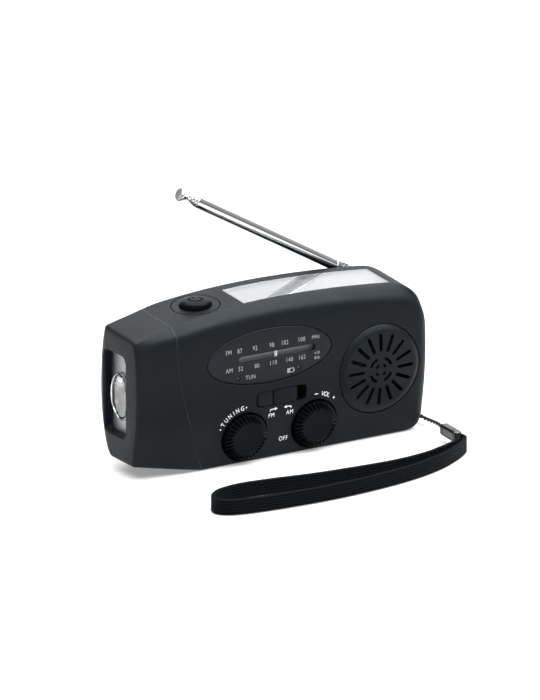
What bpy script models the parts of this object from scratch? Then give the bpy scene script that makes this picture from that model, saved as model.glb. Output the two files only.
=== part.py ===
"""Emergency radio with solar cell, hand crank, end torch and wrist strap.

Frame: +X along the case, -Y is the front with the dial, +Z up.
The origin is the middle of the flat base.  All numbers below are millimetres;
objects are written in metres by MM.
"""
import bpy
import bmesh
import math
from mathutils import Matrix, Vector

MM = 0.001
GAP = 0.3                # clearance between touching pieces

# ---- case -----------------------------------------------------------------
HALF_LENGTH = 63.5
WALL = 2.0
FRONT_Y = -19.0          # foremost line of the front face
FRONT_RADIUS = 115.0     # the front face is a shallow arc, seen from the end
WAIST_Z = 34.0           # height of that foremost line
CHIN_Z = 10.0            # below this height the front face is straight
CHIN_SLOPE = 0.12        # and leans back by this much
REAR_Y = 23.0            # deepest line of the back
REAR_Z = 31.0            # its height, and the height of the crank
TOP_Z = 61.2             # crown of the top face, at its front edge
TOP_BACK_Y = 8.4         # back edge of the top face
TOP_RISE = 0.055         # the top face climbs towards the back
CROWN_LEFT = 0.0016      # drop of the crown per mm^2, torch side
CROWN_RIGHT = 0.00115    # and speaker side
PARTING_Y = 8.0          # plane between the front and the rear shell
SEAM_X = -46.5           # joint between the case and the torch head
SEAM_SWEEP = 12.0        # how far that joint sweeps back at the base
SEAM_BEND_Z = 45.0       # height where the sweep starts

# ---- controls on the lower front, in a frame tilted with the face ------------
TILT = math.radians(8.0)
CONTROL_Y = -16.7
CONTROL_Z = 11.0
TUNING_X = -17.0
VOLUME_X = 13.5
KNOB_RADIUS = 9.2
KNOB_RECESS_RADIUS = 10.0
KNOB_RECESS_DEPTH = 2.9
FLUTES = 32
PINION_TEETH = 14
RACK_LEVEL = (6.4, 8.4)  # depth of the pinion and the rack behind the face

# ---- dial ---------------------------------------------------------------
DIAL_X, DIAL_Z = -7.2, 41.7
DIAL_A, DIAL_B = 27.3, 10.5
SLOT_LEFT, SLOT_RIGHT = -20.6, 12.9
SLOT_HALF_HEIGHT = 1.25
POINTER_X = -3.5
LED_Z = 34.9
LED_XS = (-20.8, 5.6)

# ---- speaker --------------------------------------------------------------
SPEAKER_X, SPEAKER_Z = 41.0, 28.0
GRILLE_RADIUS = 17.4
GRILLE_RINGS = ((0.0, 1.2), (6.2, 1.2), (11.0, 1.15), (15.3, 1.0), (17.4, 0.0))
GRILLE_SLOTS = 16

# ---- band switch ------------------------------------------------------------
BAND_X, BAND_Z = -1.8, 24.8
BAND_LENGTH, BAND_HEIGHT = 22.0, 6.2
BAND_TRAVEL = 3.8

# ---- top --------------------------------------------------------------------
PANEL_X = (-13.7, 50.6)
PANEL_Y = (-10.8, 5.3)
BUTTON_X, BUTTON_Y = -29.0, -1.5
BUTTON_RADIUS = 5.9
BUTTON_RING_RADIUS = 9.2

# ---- torch ------------------------------------------------------------------
WINDOW_Z = (15.2, 46.8)
WINDOW_HALF_WIDTH = 7.7
REFLECTOR_Z = 29.5
REFLECTOR_A, REFLECTOR_B = 7.1, 9.2
REFLECTOR_X = -59.5

# ---- crank and generator ------------------------------------------------------
CRANK_X, CRANK_Z = 8.0, REAR_Z
CRANK_REACH = 38.0
CRANK_HINGE_Y = 22.1
ARM_FOLDED_Y = (17.0, 20.6)
CRANK_KNOB_RADIUS = 5.3
CRANK_KNOB_LENGTH = 11.0
WELL_REACH = 47.6
CRANK_TEETH, IDLER_PINION_TEETH = 28, 8
IDLER_TEETH, ROTOR_TEETH = 24, 8
MODULE = 1.0
MESH_SLACK = 0.2
IDLER_ANGLE = math.radians(145.0)
ROTOR_ANGLE = math.radians(5.7)

# ---- antenna ------------------------------------------------------------------
ANTENNA_X, ANTENNA_Y, ANTENNA_Z = 46.5, 13.5, 57.0
ANTENNA_LIFT = math.radians(30.0)
ANTENNA_RADII = (2.2, 1.8, 1.4, 1.0)
TUBE_WALL = 0.3
NOTCH_X = (-40.0, 51.5)
NOTCH_Y = 10.7
NOTCH_Z = 54.0

# ---- strap ----------------------------------------------------------------------
STRAP_PIN = (60.3, 1.0)
CORD_RADIUS = 0.8
WEBBING_WIDTH = 6.5
WEBBING_THICK = 1.4
FERRULE_START = (61.2, -31.5)
FERRULE_END = (60.3, -43.6)
FERRULE_Z = (2.6, 7.0)


# ============================== helpers ==================================
def material(name, color, roughness, metallic=0.0):
    made = bpy.data.materials.get(name)
    if made is None:
        made = bpy.data.materials.new(name)
        made.use_nodes = True
        shader = made.node_tree.nodes["Principled BSDF"]
        shader.inputs["Base Color"].default_value = (*color, 1.0)
        shader.inputs["Roughness"].default_value = roughness
        shader.inputs["Metallic"].default_value = metallic
        made.diffuse_color = (*color, 1.0)
    return made


def case_plastic():
    return material("case_rubber", (0.035, 0.040, 0.044), 0.55)


def black_plastic():
    return material("black_plastic", (0.015, 0.017, 0.020), 0.40)


def white_plastic():
    return material("white_plastic", (0.70, 0.70, 0.68), 0.45)


def clear_plastic():
    return material("clear_plastic", (0.80, 0.84, 0.86), 0.08)


def steel():
    return material("steel", (0.55, 0.56, 0.58), 0.30, 1.0)


def chrome():
    return material("chrome", (0.82, 0.83, 0.84), 0.10, 1.0)


def board_green():
    return material("circuit_board", (0.03, 0.16, 0.07), 0.50)


def mesh_object(name, bm, paint, origin=(0, 0, 0)):
    """Turn a bmesh in millimetres into an object in metres with its own origin."""
    bmesh.ops.recalc_face_normals(bm, faces=bm.faces)
    bmesh.ops.transform(bm, matrix=Matrix.Translation(-Vector(origin)), verts=bm.verts)
    bmesh.ops.scale(bm, vec=(MM, MM, MM), verts=bm.verts)
    mesh = bpy.data.meshes.new(name)
    bm.to_mesh(mesh)
    bm.free()
    mesh.shade_smooth()
    mesh.set_sharp_from_angle(angle=math.radians(35))
    obj = bpy.data.objects.new(name, mesh)
    obj.location = Vector(origin) * MM
    bpy.context.scene.collection.objects.link(obj)
    if paint is not None:
        mesh.materials.append(paint)
    return obj


def loft(rings):
    """Closed solid through rings of equal point count, capped at both ends."""
    bm = bmesh.new()
    rows = [[bm.verts.new(p) for p in ring] for ring in rings]
    for low, high in zip(rows, rows[1:]):
        for i in range(len(low)):
            j = (i + 1) % len(low)
            bm.faces.new((low[i], low[j], high[j], high[i]))
    bm.faces.new(rows[0])
    bm.faces.new(rows[-1])
    return bm


def prism_x(outline, low, high):
    return loft([[(x, y, z) for y, z in outline] for x in (low, high)])


def prism_y(outline, low, high):
    return loft([[(x, y, z) for x, z in outline] for y in (low, high)])


def prism_z(outline, low, high):
    return loft([[(x, y, z) for x, y in outline] for z in (low, high)])


def circle(cx, cy, radius, count=32, radius_b=None, phase=0.0):
    radius_b = radius if radius_b is None else radius_b
    turn = 2 * math.pi / count
    return [(cx + radius * math.cos(phase + i * turn), cy + radius_b * math.sin(phase + i * turn))
            for i in range(count)]


def rectangle(x0, x1, y0, y1):
    return [(x0, y0), (x1, y0), (x1, y1), (x0, y1)]


def rounded(x0, x1, y0, y1, radius, steps=4):
    """Rectangle outline with round corners."""
    points = []
    for cx, cy, start in ((x1 - radius, y1 - radius, 0), (x0 + radius, y1 - radius, 90),
                          (x0 + radius, y0 + radius, 180), (x1 - radius, y0 + radius, 270)):
        for i in range(steps + 1):
            angle = math.radians(start + 90 * i / steps)
            points.append((cx + radius * math.cos(angle), cy + radius * math.sin(angle)))
    return points


def box(x, y, z):
    return prism_z(rectangle(x[0], x[1], y[0], y[1]), z[0], z[1])


def lathe(profile, count=32, phase=0.0):
    """Solid turned about Z from (radius, height) pairs; a closed loop makes a tube."""
    bm = bmesh.new()
    rows = []
    for radius, height in profile:
        if radius == 0:
            rows.append([bm.verts.new((0, 0, height))])
        else:
            rows.append([bm.verts.new((x, y, height))
                         for x, y in circle(0, 0, radius, count, phase=phase)])
    closed = profile[0][0] > 0 and profile[-1][0] > 0
    pairs = list(zip(rows, rows[1:])) + ([(rows[-1], rows[0])] if closed else [])
    for low, high in pairs:
        for i in range(count if len(low) + len(high) > 2 else 0):
            j = (i + 1) % count
            corners = [low[i % len(low)], low[j % len(low)], high[j % len(high)], high[i % len(high)]]
            bm.faces.new(list(dict.fromkeys(corners)))
    return bm


def moved(bm, matrix):
    bmesh.ops.transform(bm, matrix=matrix, verts=bm.verts)
    return bm


def along_y(x, y, z):
    """Matrix that lays a shape turned about Z along +Y, from the point given."""
    return Matrix.Translation((x, y, z)) @ Matrix.Rotation(-math.pi / 2, 4, "X")


def along_x(x, y, z):
    return Matrix.Translation((x, y, z)) @ Matrix.Rotation(math.pi / 2, 4, "Y")


def face_frame(x):
    """Frame of a control: +Z points into the case, +Y down along the tilted face."""
    return (Matrix.Translation((x, CONTROL_Y, CONTROL_Z))
            @ Matrix.Rotation(TILT, 4, "X") @ Matrix.Rotation(-math.pi / 2, 4, "X"))


def joined(*parts):
    """Several closed shapes in one mesh; they must not touch each other."""
    whole = bmesh.new()
    for part in parts:
        scratch = bpy.data.meshes.new("scratch")
        part.to_mesh(scratch)
        part.free()
        whole.from_mesh(scratch)
        bpy.data.meshes.remove(scratch)
    return whole


def boolean(target, tool, operation):
    modifier = target.modifiers.new(operation.lower(), "BOOLEAN")
    modifier.object = tool
    modifier.operation = operation
    modifier.solver = "EXACT"
    return target


def guide(name, bm):
    """A construction solid: used by booleans, never part of the model."""
    obj = mesh_object("guide_" + name, bm, None)
    obj.hide_render = True
    obj.display_type = "WIRE"
    return obj


def cut(target, name, bm):
    return boolean(target, guide(name, bm), "DIFFERENCE")


def add(target, name, bm):
    return boolean(target, guide(name, bm), "UNION")


# ============================ case outline ================================
def quarter(distance, radius):
    """How far a round corner has dropped at a distance past its start."""
    reach = min(max(distance, 0.0), radius)
    return radius - math.sqrt(radius * radius - reach * reach)


def blend(value, start, end):
    t = min(max((value - start) / (end - start), 0.0), 1.0)
    return t * t * (3 - 2 * t)


def seam_x(z):
    return SEAM_X + SEAM_SWEEP * (max(0.0, SEAM_BEND_Z - z) / SEAM_BEND_Z) ** 1.5


def crown_z(x):
    drop = CROWN_LEFT if x < 0 else CROWN_RIGHT
    return TOP_Z - drop * x * x


def front_y(z, x=0.0):
    """The front face: an arc, tapering at the torch and rounded at the far end."""
    taper = 2.4 * blend(-x, 38.0, 66.0)
    corner = quarter((x - 58.3) * 5.0 / 5.2, 5.0)
    above = max(z, CHIN_Z)
    chin = CHIN_SLOPE * (above - z)
    return FRONT_Y + taper + corner + chin + (above - WAIST_Z) ** 2 / (2 * FRONT_RADIUS)


def section(x, inset=0.0):
    """Outline of the case at one station, as (y, z) points."""
    bottom = 5.6 * max(0.0, (-34.5 - x) / 29.0) + quarter((x - 54.5), 9.0) + inset
    corner_top = 11.5 * quarter((x - 51.0) / 12.5, 1.0)
    top = crown_z(x) - corner_top - inset
    drop = 3.9 + 0.016 * x
    depth = 4.5 - 2.7 * max(0.0, (SEAM_X - x) / 17.0)
    rear = REAR_Y - 8.4 * blend(-x, 34.0, 57.0) - quarter(-56.5 - x, 7.0)
    rear = rear - quarter((x - 53.5), 10.0) - inset
    back = TOP_BACK_Y - 1.6 * blend(-x, 36.0, 64.0) - quarter((x - 53.5), 10.0) * 0.4 - inset * 0.5
    fullness = 0.85 + 0.2 * blend(-x, 40.0, 62.0)
    heel = 12.0 - 9.0 * blend(-x, 30.0, 63.5) - quarter((x - 53.5), 10.0) - inset
    crease = top - drop

    def front(z):
        return front_y(z, x) + inset

    points = [(front(bottom) + 1.1, bottom), (front(bottom) + 0.25, bottom + 0.45)]
    for i in range(6):
        z = bottom + 1.6 + (crease - 0.8 - bottom - 1.6) * i / 5
        points.append((front(z), z))
    points.append((front(crease) + 0.45, crease + 0.3))
    points.append((front(crease) + depth - 0.7, top - 0.35))
    points.append((front(crease) + depth + 0.6, top))
    mid = (front(crease) + depth + back) / 2
    points.append((mid, top + TOP_RISE * (mid - front(crease) - depth)))
    back_z = top + TOP_RISE * (back - front(crease) - depth)
    centre_z = min(max(REAR_Z, bottom + 8), top - 12)
    for i in range(8):
        angle = math.pi / 2 * (1 - i / 7)
        points.append((back + (rear - back) * math.cos(angle),
                       centre_z + (back_z - centre_z) * math.sin(angle)))
    for i in range(1, 7):
        angle = math.pi / 2 * i / 7
        points.append((heel + (rear - heel) * math.cos(angle) ** fullness,
                       centre_z - (centre_z - bottom) * math.sin(angle) ** fullness))
    points.append((heel - 0.4, bottom))
    points.append(((heel + front(bottom)) / 2, bottom))
    return points


STATIONS = (-63.5, -62.9, -61.6, -59.5, -56.5, -53, -48, -42, -35, -26, -16, -6, 4, 14, 24, 34,
            43, 50, 54, 57, 59.2, 61, 62.4, 63.1, 63.5)


def case_solid(inset=0.0):
    """The whole case as a solid, or the solid a distance inside its skin."""
    shrink = (HALF_LENGTH - inset) / HALF_LENGTH
    rings = []
    for x in STATIONS:
        edge = 0.7 if x == -HALF_LENGTH else 0.0
        rings.append([(x * shrink, y, z) for y, z in section(x, inset + edge)])
    return loft(rings)


def seam_curve(offset, low=-5.0, high=75.0):
    heights = [low] + [SEAM_BEND_Z * i / 9 for i in range(10)] + [high]
    return [(seam_x(z) + offset, z) for z in heights]


def body_region(y0, y1):
    """Everything on the speaker side of the torch seam, between two planes."""
    outline = seam_curve(GAP / 2) + [(90, 75), (90, -5)]
    return prism_y(outline, y0, y1)


def head_region():
    outline = seam_curve(-GAP / 2) + [(-90, 75), (-90, -5)]
    return prism_y(outline, -40, 40)


def clipped(name, bm, skin):
    """A guide solid that stays inside a skin of the case."""
    return boolean(guide(name, bm), skin, "INTERSECT")


def pocket(name, bm, floor):
    """A guide solid that stays outside a skin: cuts a pocket of even depth."""
    return boolean(guide(name, bm), floor, "DIFFERENCE")


# ============================== case pieces ==================================
SCREWS = ((-38.5, 45.5), (-31.0, 9.0), (53.0, 47.0), (54.5, 9.0))
SCREW_RADIUS = 1.2
SCREW_HEAD_Y = 14.3


def make_front_shell(skins):
    shell = mesh_object("front_shell", case_solid(), case_plastic())
    boolean(shell, skins["inner"], "DIFFERENCE")
    boolean(shell, guide("front_region", body_region(-40, PARTING_Y - GAP / 2)), "INTERSECT")
    for name, x in (("tuning", TUNING_X), ("volume", VOLUME_X)):
        wall = prism_z(circle(0, 0, KNOB_RECESS_RADIUS + 1.3, 40), -6, KNOB_RECESS_DEPTH + 1.5)
        boolean(shell, clipped(name + "_cup", moved(wall, face_frame(x)), skins["mid"]), "UNION")
        room = prism_z(circle(0, 0, KNOB_RECESS_RADIUS, 40), -9, KNOB_RECESS_DEPTH)
        cut(shell, name + "_recess", moved(room, face_frame(x)))
        bore = prism_z(circle(0, 0, 3.3, 20), 0, 9)
        cut(shell, name + "_bore", moved(bore, face_frame(x)))
    dial = prism_y(circle(DIAL_X, DIAL_Z, DIAL_A, 64, DIAL_B), -30, -8)
    boolean(shell, pocket("dial_recess", dial, skins["deep"]), "DIFFERENCE")
    cut(shell, "dial_hole", prism_y(circle(DIAL_X, DIAL_Z, DIAL_A - 1.0, 48, DIAL_B - 1.0), -30, -8))
    ring = prism_y(circle(SPEAKER_X, SPEAKER_Z, GRILLE_RADIUS + GAP, 48), -30, -8)
    boolean(shell, pocket("grille_recess", ring, skins["deep"]), "DIFFERENCE")
    cut(shell, "grille_hole", prism_y(circle(SPEAKER_X, SPEAKER_Z, GRILLE_RADIUS - 2, 40), -30, -8))
    band = rounded(BAND_X - BAND_LENGTH / 2, BAND_X + BAND_LENGTH / 2,
                   BAND_Z - BAND_HEIGHT / 2, BAND_Z + BAND_HEIGHT / 2, 1.2, 3)
    cut(shell, "band_opening", prism_y(band, -30, -13))
    panel = box(PANEL_X, PANEL_Y, (45, 75))
    boolean(shell, pocket("panel_recess", panel, skins["deep"]), "DIFFERENCE")
    cut(shell, "panel_hole", box((PANEL_X[0] + 1.6, PANEL_X[1] - 1.6),
                                 (PANEL_Y[0] + 1.6, PANEL_Y[1] - 1.6), (45, 75)))
    dish = prism_z(circle(BUTTON_X, BUTTON_Y, BUTTON_RING_RADIUS, 40), 45, 75)
    boolean(shell, pocket("button_dish", dish, skins["mid"]), "DIFFERENCE")
    cut(shell, "button_hole", prism_z(circle(BUTTON_X, BUTTON_Y, BUTTON_RADIUS + 0.4, 32), 45, 75))
    for i, (x, z) in enumerate(SCREWS):
        boss = prism_y(circle(x, z, 3.2, 16), -30, PARTING_Y - GAP / 2)
        boolean(shell, clipped(f"front_boss_{i}", boss, skins["mid"]), "UNION")
        cut(shell, f"front_pilot_{i}", prism_y(circle(x, z, 1.5, 12), -1.5, 12))
    tub = box((56.4, 70), (-4.6, 6.6), (-5, 13.5))
    boolean(shell, clipped("strap_tub", tub, skins["mid"]), "UNION")
    cut(shell, "strap_notch", box((57.9, 70), (-3, 5), (4.8, 12.0)))
    cut(shell, "strap_pin_hole", prism_z(circle(*STRAP_PIN, 1.2, 12), 3.5, 13.0))
    port = box((58.9, 70), (-11.0, 0.2), (21.6, 33.4))
    boolean(shell, clipped("port_tub", port, skins["mid"]), "UNION")
    cut(shell, "port_recess", prism_x(rounded(-9.5, -1.0, 23.0, 32.0, 0.5, 2), 61.9, 70))
    cut(shell, "port_opening", box((55, 70), (-6.9, -3.5), (23.5, 31.5)))
    return shell


def make_rear_shell(skins):
    shell = mesh_object("rear_shell", case_solid(), case_plastic())
    boolean(shell, skins["inner"], "DIFFERENCE")
    boolean(shell, guide("rear_region", body_region(PARTING_Y + GAP / 2, 40)), "INTERSECT")
    bottom = ARM_FOLDED_Y[0] - 0.6
    tubs = (
        ("channel_tub", box((CRANK_X - WELL_REACH - 1.5, CRANK_X + WELL_REACH + 1.5),
                            (bottom - 1.6, 40), (CRANK_Z - 6.2, CRANK_Z + 6.2))),
        ("hub_tub", prism_y(circle(CRANK_X, CRANK_Z, 10.8, 32), 12.8, 40)),
        ("left_well_tub", box((CRANK_X - WELL_REACH - 1.6, CRANK_X - 30.4), (3.2, 40),
                              (CRANK_Z - 8, CRANK_Z + 8))),
        ("right_well_tub", box((CRANK_X + 30.4, CRANK_X + WELL_REACH + 1.6), (3.2, 40),
                               (CRANK_Z - 8, CRANK_Z + 8))),
        ("notch_tub", box((NOTCH_X[0] - 1.6, NOTCH_X[1] + 1.6), (NOTCH_Y - 1.6, 40), (52.4, 75))),
        ("bracket_tub", box((40.0, NOTCH_X[1] + 1.5), (NOTCH_Y - 1.5, 40), (51.2, 74))),
    )
    for name, solid in tubs:
        boolean(shell, clipped(name, solid, skins["mid"]), "UNION")
    for i, (x, z) in enumerate(SCREWS):
        boss = prism_y(circle(x, z, 3.6, 16), PARTING_Y + GAP / 2, 40)
        boolean(shell, clipped(f"rear_boss_{i}", boss, skins["mid"]), "UNION")
        cut(shell, f"screw_hole_{i}", prism_y(circle(x, z, 1.5, 12), 0, 40))
        cut(shell, f"counterbore_{i}", prism_y(circle(x, z, 2.9, 20), SCREW_HEAD_Y - GAP, 40))
    cut(shell, "channel", box((CRANK_X - 40, CRANK_X + 40), (bottom, 40),
                              (CRANK_Z - 4.6, CRANK_Z + 4.6)))
    cut(shell, "hub_pocket", prism_y(circle(CRANK_X, CRANK_Z, 9.2, 40), 14.4, 40))
    cut(shell, "hub_bore", prism_y(circle(CRANK_X, CRANK_Z, 2.4, 16), 10, 40))
    for side, name in ((-1, "left_well"), (1, "right_well")):
        ends = sorted((CRANK_X + side * 31.6, CRANK_X + side * WELL_REACH))
        well = rounded(ends[0], ends[1], CRANK_Z - 6.4, CRANK_Z + 6.4, 5.5, 5)
        cut(shell, name, prism_y(well, 4.8, 40))
    cut(shell, "antenna_notch", box(NOTCH_X, (NOTCH_Y, 40), (NOTCH_Z, 80)))
    cut(shell, "bracket_seat", box((41.6, NOTCH_X[1] - 0.01), (NOTCH_Y + 0.01, 40), (52.8, 79)))
    return shell


def make_torch_head(skins):
    head = mesh_object("torch_head", case_solid(), case_plastic())
    boolean(head, skins["inner"], "DIFFERENCE")
    boolean(head, guide("head_region", head_region()), "INTERSECT")
    half = WINDOW_HALF_WIDTH
    frame = rounded(-half - 1.3, half + 1.3, WINDOW_Z[0] - 1.3, WINDOW_Z[1] + 1.3, 3.5)
    boolean(head, clipped("window_frame", prism_x(frame, -70, REFLECTOR_X - GAP), skins["mid"]),
            "UNION")
    window = rounded(-half, half, WINDOW_Z[0], WINDOW_Z[1], 2.6)
    cut(head, "window", prism_x(window, -75, -50))
    return head


def make_screws():
    for i, (x, z) in enumerate(SCREWS):
        screw = lathe([(0, 0), (SCREW_RADIUS, 0.5), (SCREW_RADIUS, 13.8), (2.5, 13.9), (2.5, 15.0),
                       (2.0, 15.5), (0, 15.5)], 16)
        mesh_object(f"case_screw_{i + 1}", moved(screw, along_y(x, SCREW_HEAD_Y - 13.8, z)), steel())
        slot = box((x - 0.35, x + 0.35), (SCREW_HEAD_Y + 0.9, SCREW_HEAD_Y + 4), (z - 1.5, z + 1.5))
        cross = box((x - 1.5, x + 1.5), (SCREW_HEAD_Y + 0.9, SCREW_HEAD_Y + 4), (z - 0.35, z + 0.35))
        obj = bpy.data.objects[f"case_screw_{i + 1}"]
        cut(obj, f"screw_slot_{i}", slot)
        cut(obj, f"screw_cross_{i}", cross)


# ============================== dial and speaker ================================
def make_dial(skins):
    outline = circle(DIAL_X, DIAL_Z, DIAL_A - GAP, 64, DIAL_B - GAP)
    plate = mesh_object("dial_plate", prism_y(outline, -30, -8),
                        material("dial_grey", (0.10, 0.11, 0.12), 0.25))
    boolean(plate, skins["outer"], "INTERSECT")
    boolean(plate, skins["thin"], "DIFFERENCE")
    slot = rounded(SLOT_LEFT, SLOT_RIGHT, DIAL_Z - SLOT_HALF_HEIGHT, DIAL_Z + SLOT_HALF_HEIGHT, 1.2, 3)
    cut(plate, "dial_slot", prism_y(slot, -30, -8))
    for i, x in enumerate(LED_XS):
        cut(plate, f"led_hole_{i}", prism_y(circle(x, LED_Z, 1.1, 12), -30, -8))
    mesh_object("dial_backing", box((-23.5, 15.5), (-16.5, -15.7), (40.0, 43.6)), white_plastic())
    colors = ((0.55, 0.06, 0.04), (0.10, 0.45, 0.08))
    for x, name, color in zip(LED_XS, ("tuning_led", "charge_led"), colors):
        body = lathe([(0, 0), (0.6, 0.1), (0.8, 0.5), (0.8, 3.4), (0, 3.4)], 12)
        mesh_object(name, moved(body, along_y(x, -18.8, LED_Z)), material(name, color, 0.2))


def make_grille():
    turns = 40
    front, back = [], []
    for radius, rise in GRILLE_RINGS:
        ring = circle(SPEAKER_X, SPEAKER_Z, radius, turns) if radius else [(SPEAKER_X, SPEAKER_Z)]
        front.append([(x, front_y(z, x) - rise, z) for x, z in ring])
        back.append([(x, front_y(z, x) - rise * 0.5 + 1.2, z) for x, z in ring])
    bm = bmesh.new()
    rings = [[bm.verts.new(p) for p in row] for row in front + back[::-1]]
    for low, high in zip(rings, rings[1:]):
        for i in range(turns):
            j = (i + 1) % turns
            corners = [low[i % len(low)], low[j % len(low)], high[j % len(high)], high[i % len(high)]]
            bm.faces.new(list(dict.fromkeys(corners)))
    grille = mesh_object("speaker_grille", bm, case_plastic())
    slots = []
    for i in range(GRILLE_SLOTS):
        bar = prism_y(rounded(7.2, 14.1, -0.62, 0.62, 0.5, 1), -30, -8)
        turn = Matrix.Rotation(2 * math.pi * i / GRILLE_SLOTS, 4, "Y")
        slots.append(moved(bar, Matrix.Translation((SPEAKER_X, 0, SPEAKER_Z)) @ turn))
    for low, high, span in ((4.1, 5.2, 52), (1.7, 2.6, 44)):
        for i in range(4):
            first = math.radians(45 + 90 * i - span / 2)
            angles = [first + math.radians(span) * k / 4 for k in range(5)]
            outline = [(high * math.cos(a), high * math.sin(a)) for a in angles]
            outline += [(low * math.cos(a), low * math.sin(a)) for a in reversed(angles)]
            arc = prism_y(outline, -30, -8)
            slots.append(moved(arc, Matrix.Translation((SPEAKER_X, 0, SPEAKER_Z))))
    cut(grille, "grille_slots", joined(*slots))


def make_speaker():
    frame = lathe([(15.2, 0), (15.2, 1.4), (9.2, 6.2), (9.2, 10.2), (0, 10.2), (0, 6.8), (6.4, 6.8),
                   (13.9, 1.0), (13.9, 0)], 32)
    mesh_object("speaker_frame", moved(frame, along_y(SPEAKER_X, -14.4, SPEAKER_Z)), steel())
    cone = lathe([(0, 3.4), (3.4, 4.6), (5.2, 5.6), (12.9, 0.4), (13.5, 0.4), (13.5, 0.9), (5.3, 6.4),
                  (3.2, 5.3), (0, 4.1)], 32)
    mesh_object("speaker_cone", moved(cone, along_y(SPEAKER_X, -14.4, SPEAKER_Z)),
                material("cone_paper", (0.03, 0.03, 0.03), 0.8))


# ============================== gears ====================================
TIP_HALF = 0.36          # half width of a tooth at its tip, module 1
ROOT_HALF = 0.86         # and at its root
ADDENDUM = 0.8
DEDENDUM = 1.15


def gear_outline(teeth, phase):
    """Outline of a spur gear with one tooth centred on the phase angle."""
    pitch = teeth * MODULE / 2
    tip, root = pitch + ADDENDUM * MODULE, pitch - DEDENDUM * MODULE
    points = []
    for i in range(teeth):
        centre = phase + 2 * math.pi * i / teeth
        for radius, half in ((root, -ROOT_HALF), (tip, -TIP_HALF), (tip, TIP_HALF), (root, ROOT_HALF)):
            angle = centre + half * MODULE / radius
            points.append((radius * math.cos(angle), radius * math.sin(angle)))
    return points


def idler_place():
    reach = (CRANK_TEETH + IDLER_PINION_TEETH) * MODULE / 2 + MESH_SLACK
    return (CRANK_X + reach * math.cos(IDLER_ANGLE), CRANK_Z + reach * math.sin(IDLER_ANGLE))


def rotor_place():
    x, z = idler_place()
    reach = (IDLER_TEETH + ROTOR_TEETH) * MODULE / 2 + MESH_SLACK
    return (x + reach * math.cos(ROTOR_ANGLE), z + reach * math.sin(ROTOR_ANGLE))


def spur(teeth, phase, x, z, y0, y1):
    return prism_y([(x + a, z + b) for a, b in gear_outline(teeth, phase)], y0, y1)


def make_gear_train():
    brass = material("brass", (0.65, 0.48, 0.20), 0.35, 1.0)
    gear = mesh_object("crank_gear", spur(CRANK_TEETH, IDLER_ANGLE, CRANK_X, CRANK_Z, 9.6, 12.2),
                       white_plastic(), (CRANK_X, 10.9, CRANK_Z))
    cut(gear, "crank_gear_bore", prism_y(circle(CRANK_X, CRANK_Z, 2.3, 16), 5, 15))
    ix, iz = idler_place()
    pinion_phase = IDLER_ANGLE + math.pi + math.pi / IDLER_PINION_TEETH
    idler = mesh_object("idler_gear", spur(IDLER_TEETH, ROTOR_ANGLE, ix, iz, 6.4, 8.8),
                        white_plastic(), (ix, 9.0, iz))
    add(idler, "idler_pinion", spur(IDLER_PINION_TEETH, pinion_phase, ix, iz, 8.6, 12.0))
    cut(idler, "idler_bore", prism_y(circle(ix, iz, 1.5, 12), 0, 20))
    rx, rz = rotor_place()
    rotor_phase = ROTOR_ANGLE + math.pi + math.pi / ROTOR_TEETH
    rotor = mesh_object("generator_rotor", spur(ROTOR_TEETH, rotor_phase, rx, rz, 6.4, 8.8),
                        brass, (rx, 1.5, rz))
    shaft = lathe([(0, 0), (6.6, 0.1), (6.8, 0.4), (6.8, 7.6), (6.6, 8.0), (1.1, 8.0), (1.1, 12.4),
                   (0, 12.4)], 24)
    add(rotor, "rotor_magnet", moved(shaft, along_y(rx, -5.6, rz)))
    can = mesh_object("generator_can", prism_y(circle(rx, rz, 9.4, 32), -7.0, 4.0), steel())
    cut(can, "can_room", prism_y(circle(rx, rz, 7.8, 32), -6.0, 9))
    plate = mesh_object("gearbox_plate", prism_y(rounded(-21, 24, 18, 54, 3), 4.3, 5.9),
                        black_plastic())
    cut(plate, "plate_spindle_hole", prism_y(circle(CRANK_X, CRANK_Z, 2.3, 16), 0, 9))
    cut(plate, "plate_rotor_hole", prism_y(circle(rx, rz, 1.5, 16), 0, 9))
    add(plate, "idler_axle", prism_y(circle(ix, iz, 1.2, 12), 5, 12.4))


# ============================== crank ======================================
def hinge_mirror(point):
    """A place on the folded arm, turned half round the hinge to where it is in use."""
    x, y = point
    return (2 * CRANK_X - x, 2 * CRANK_HINGE_Y - y)


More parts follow.
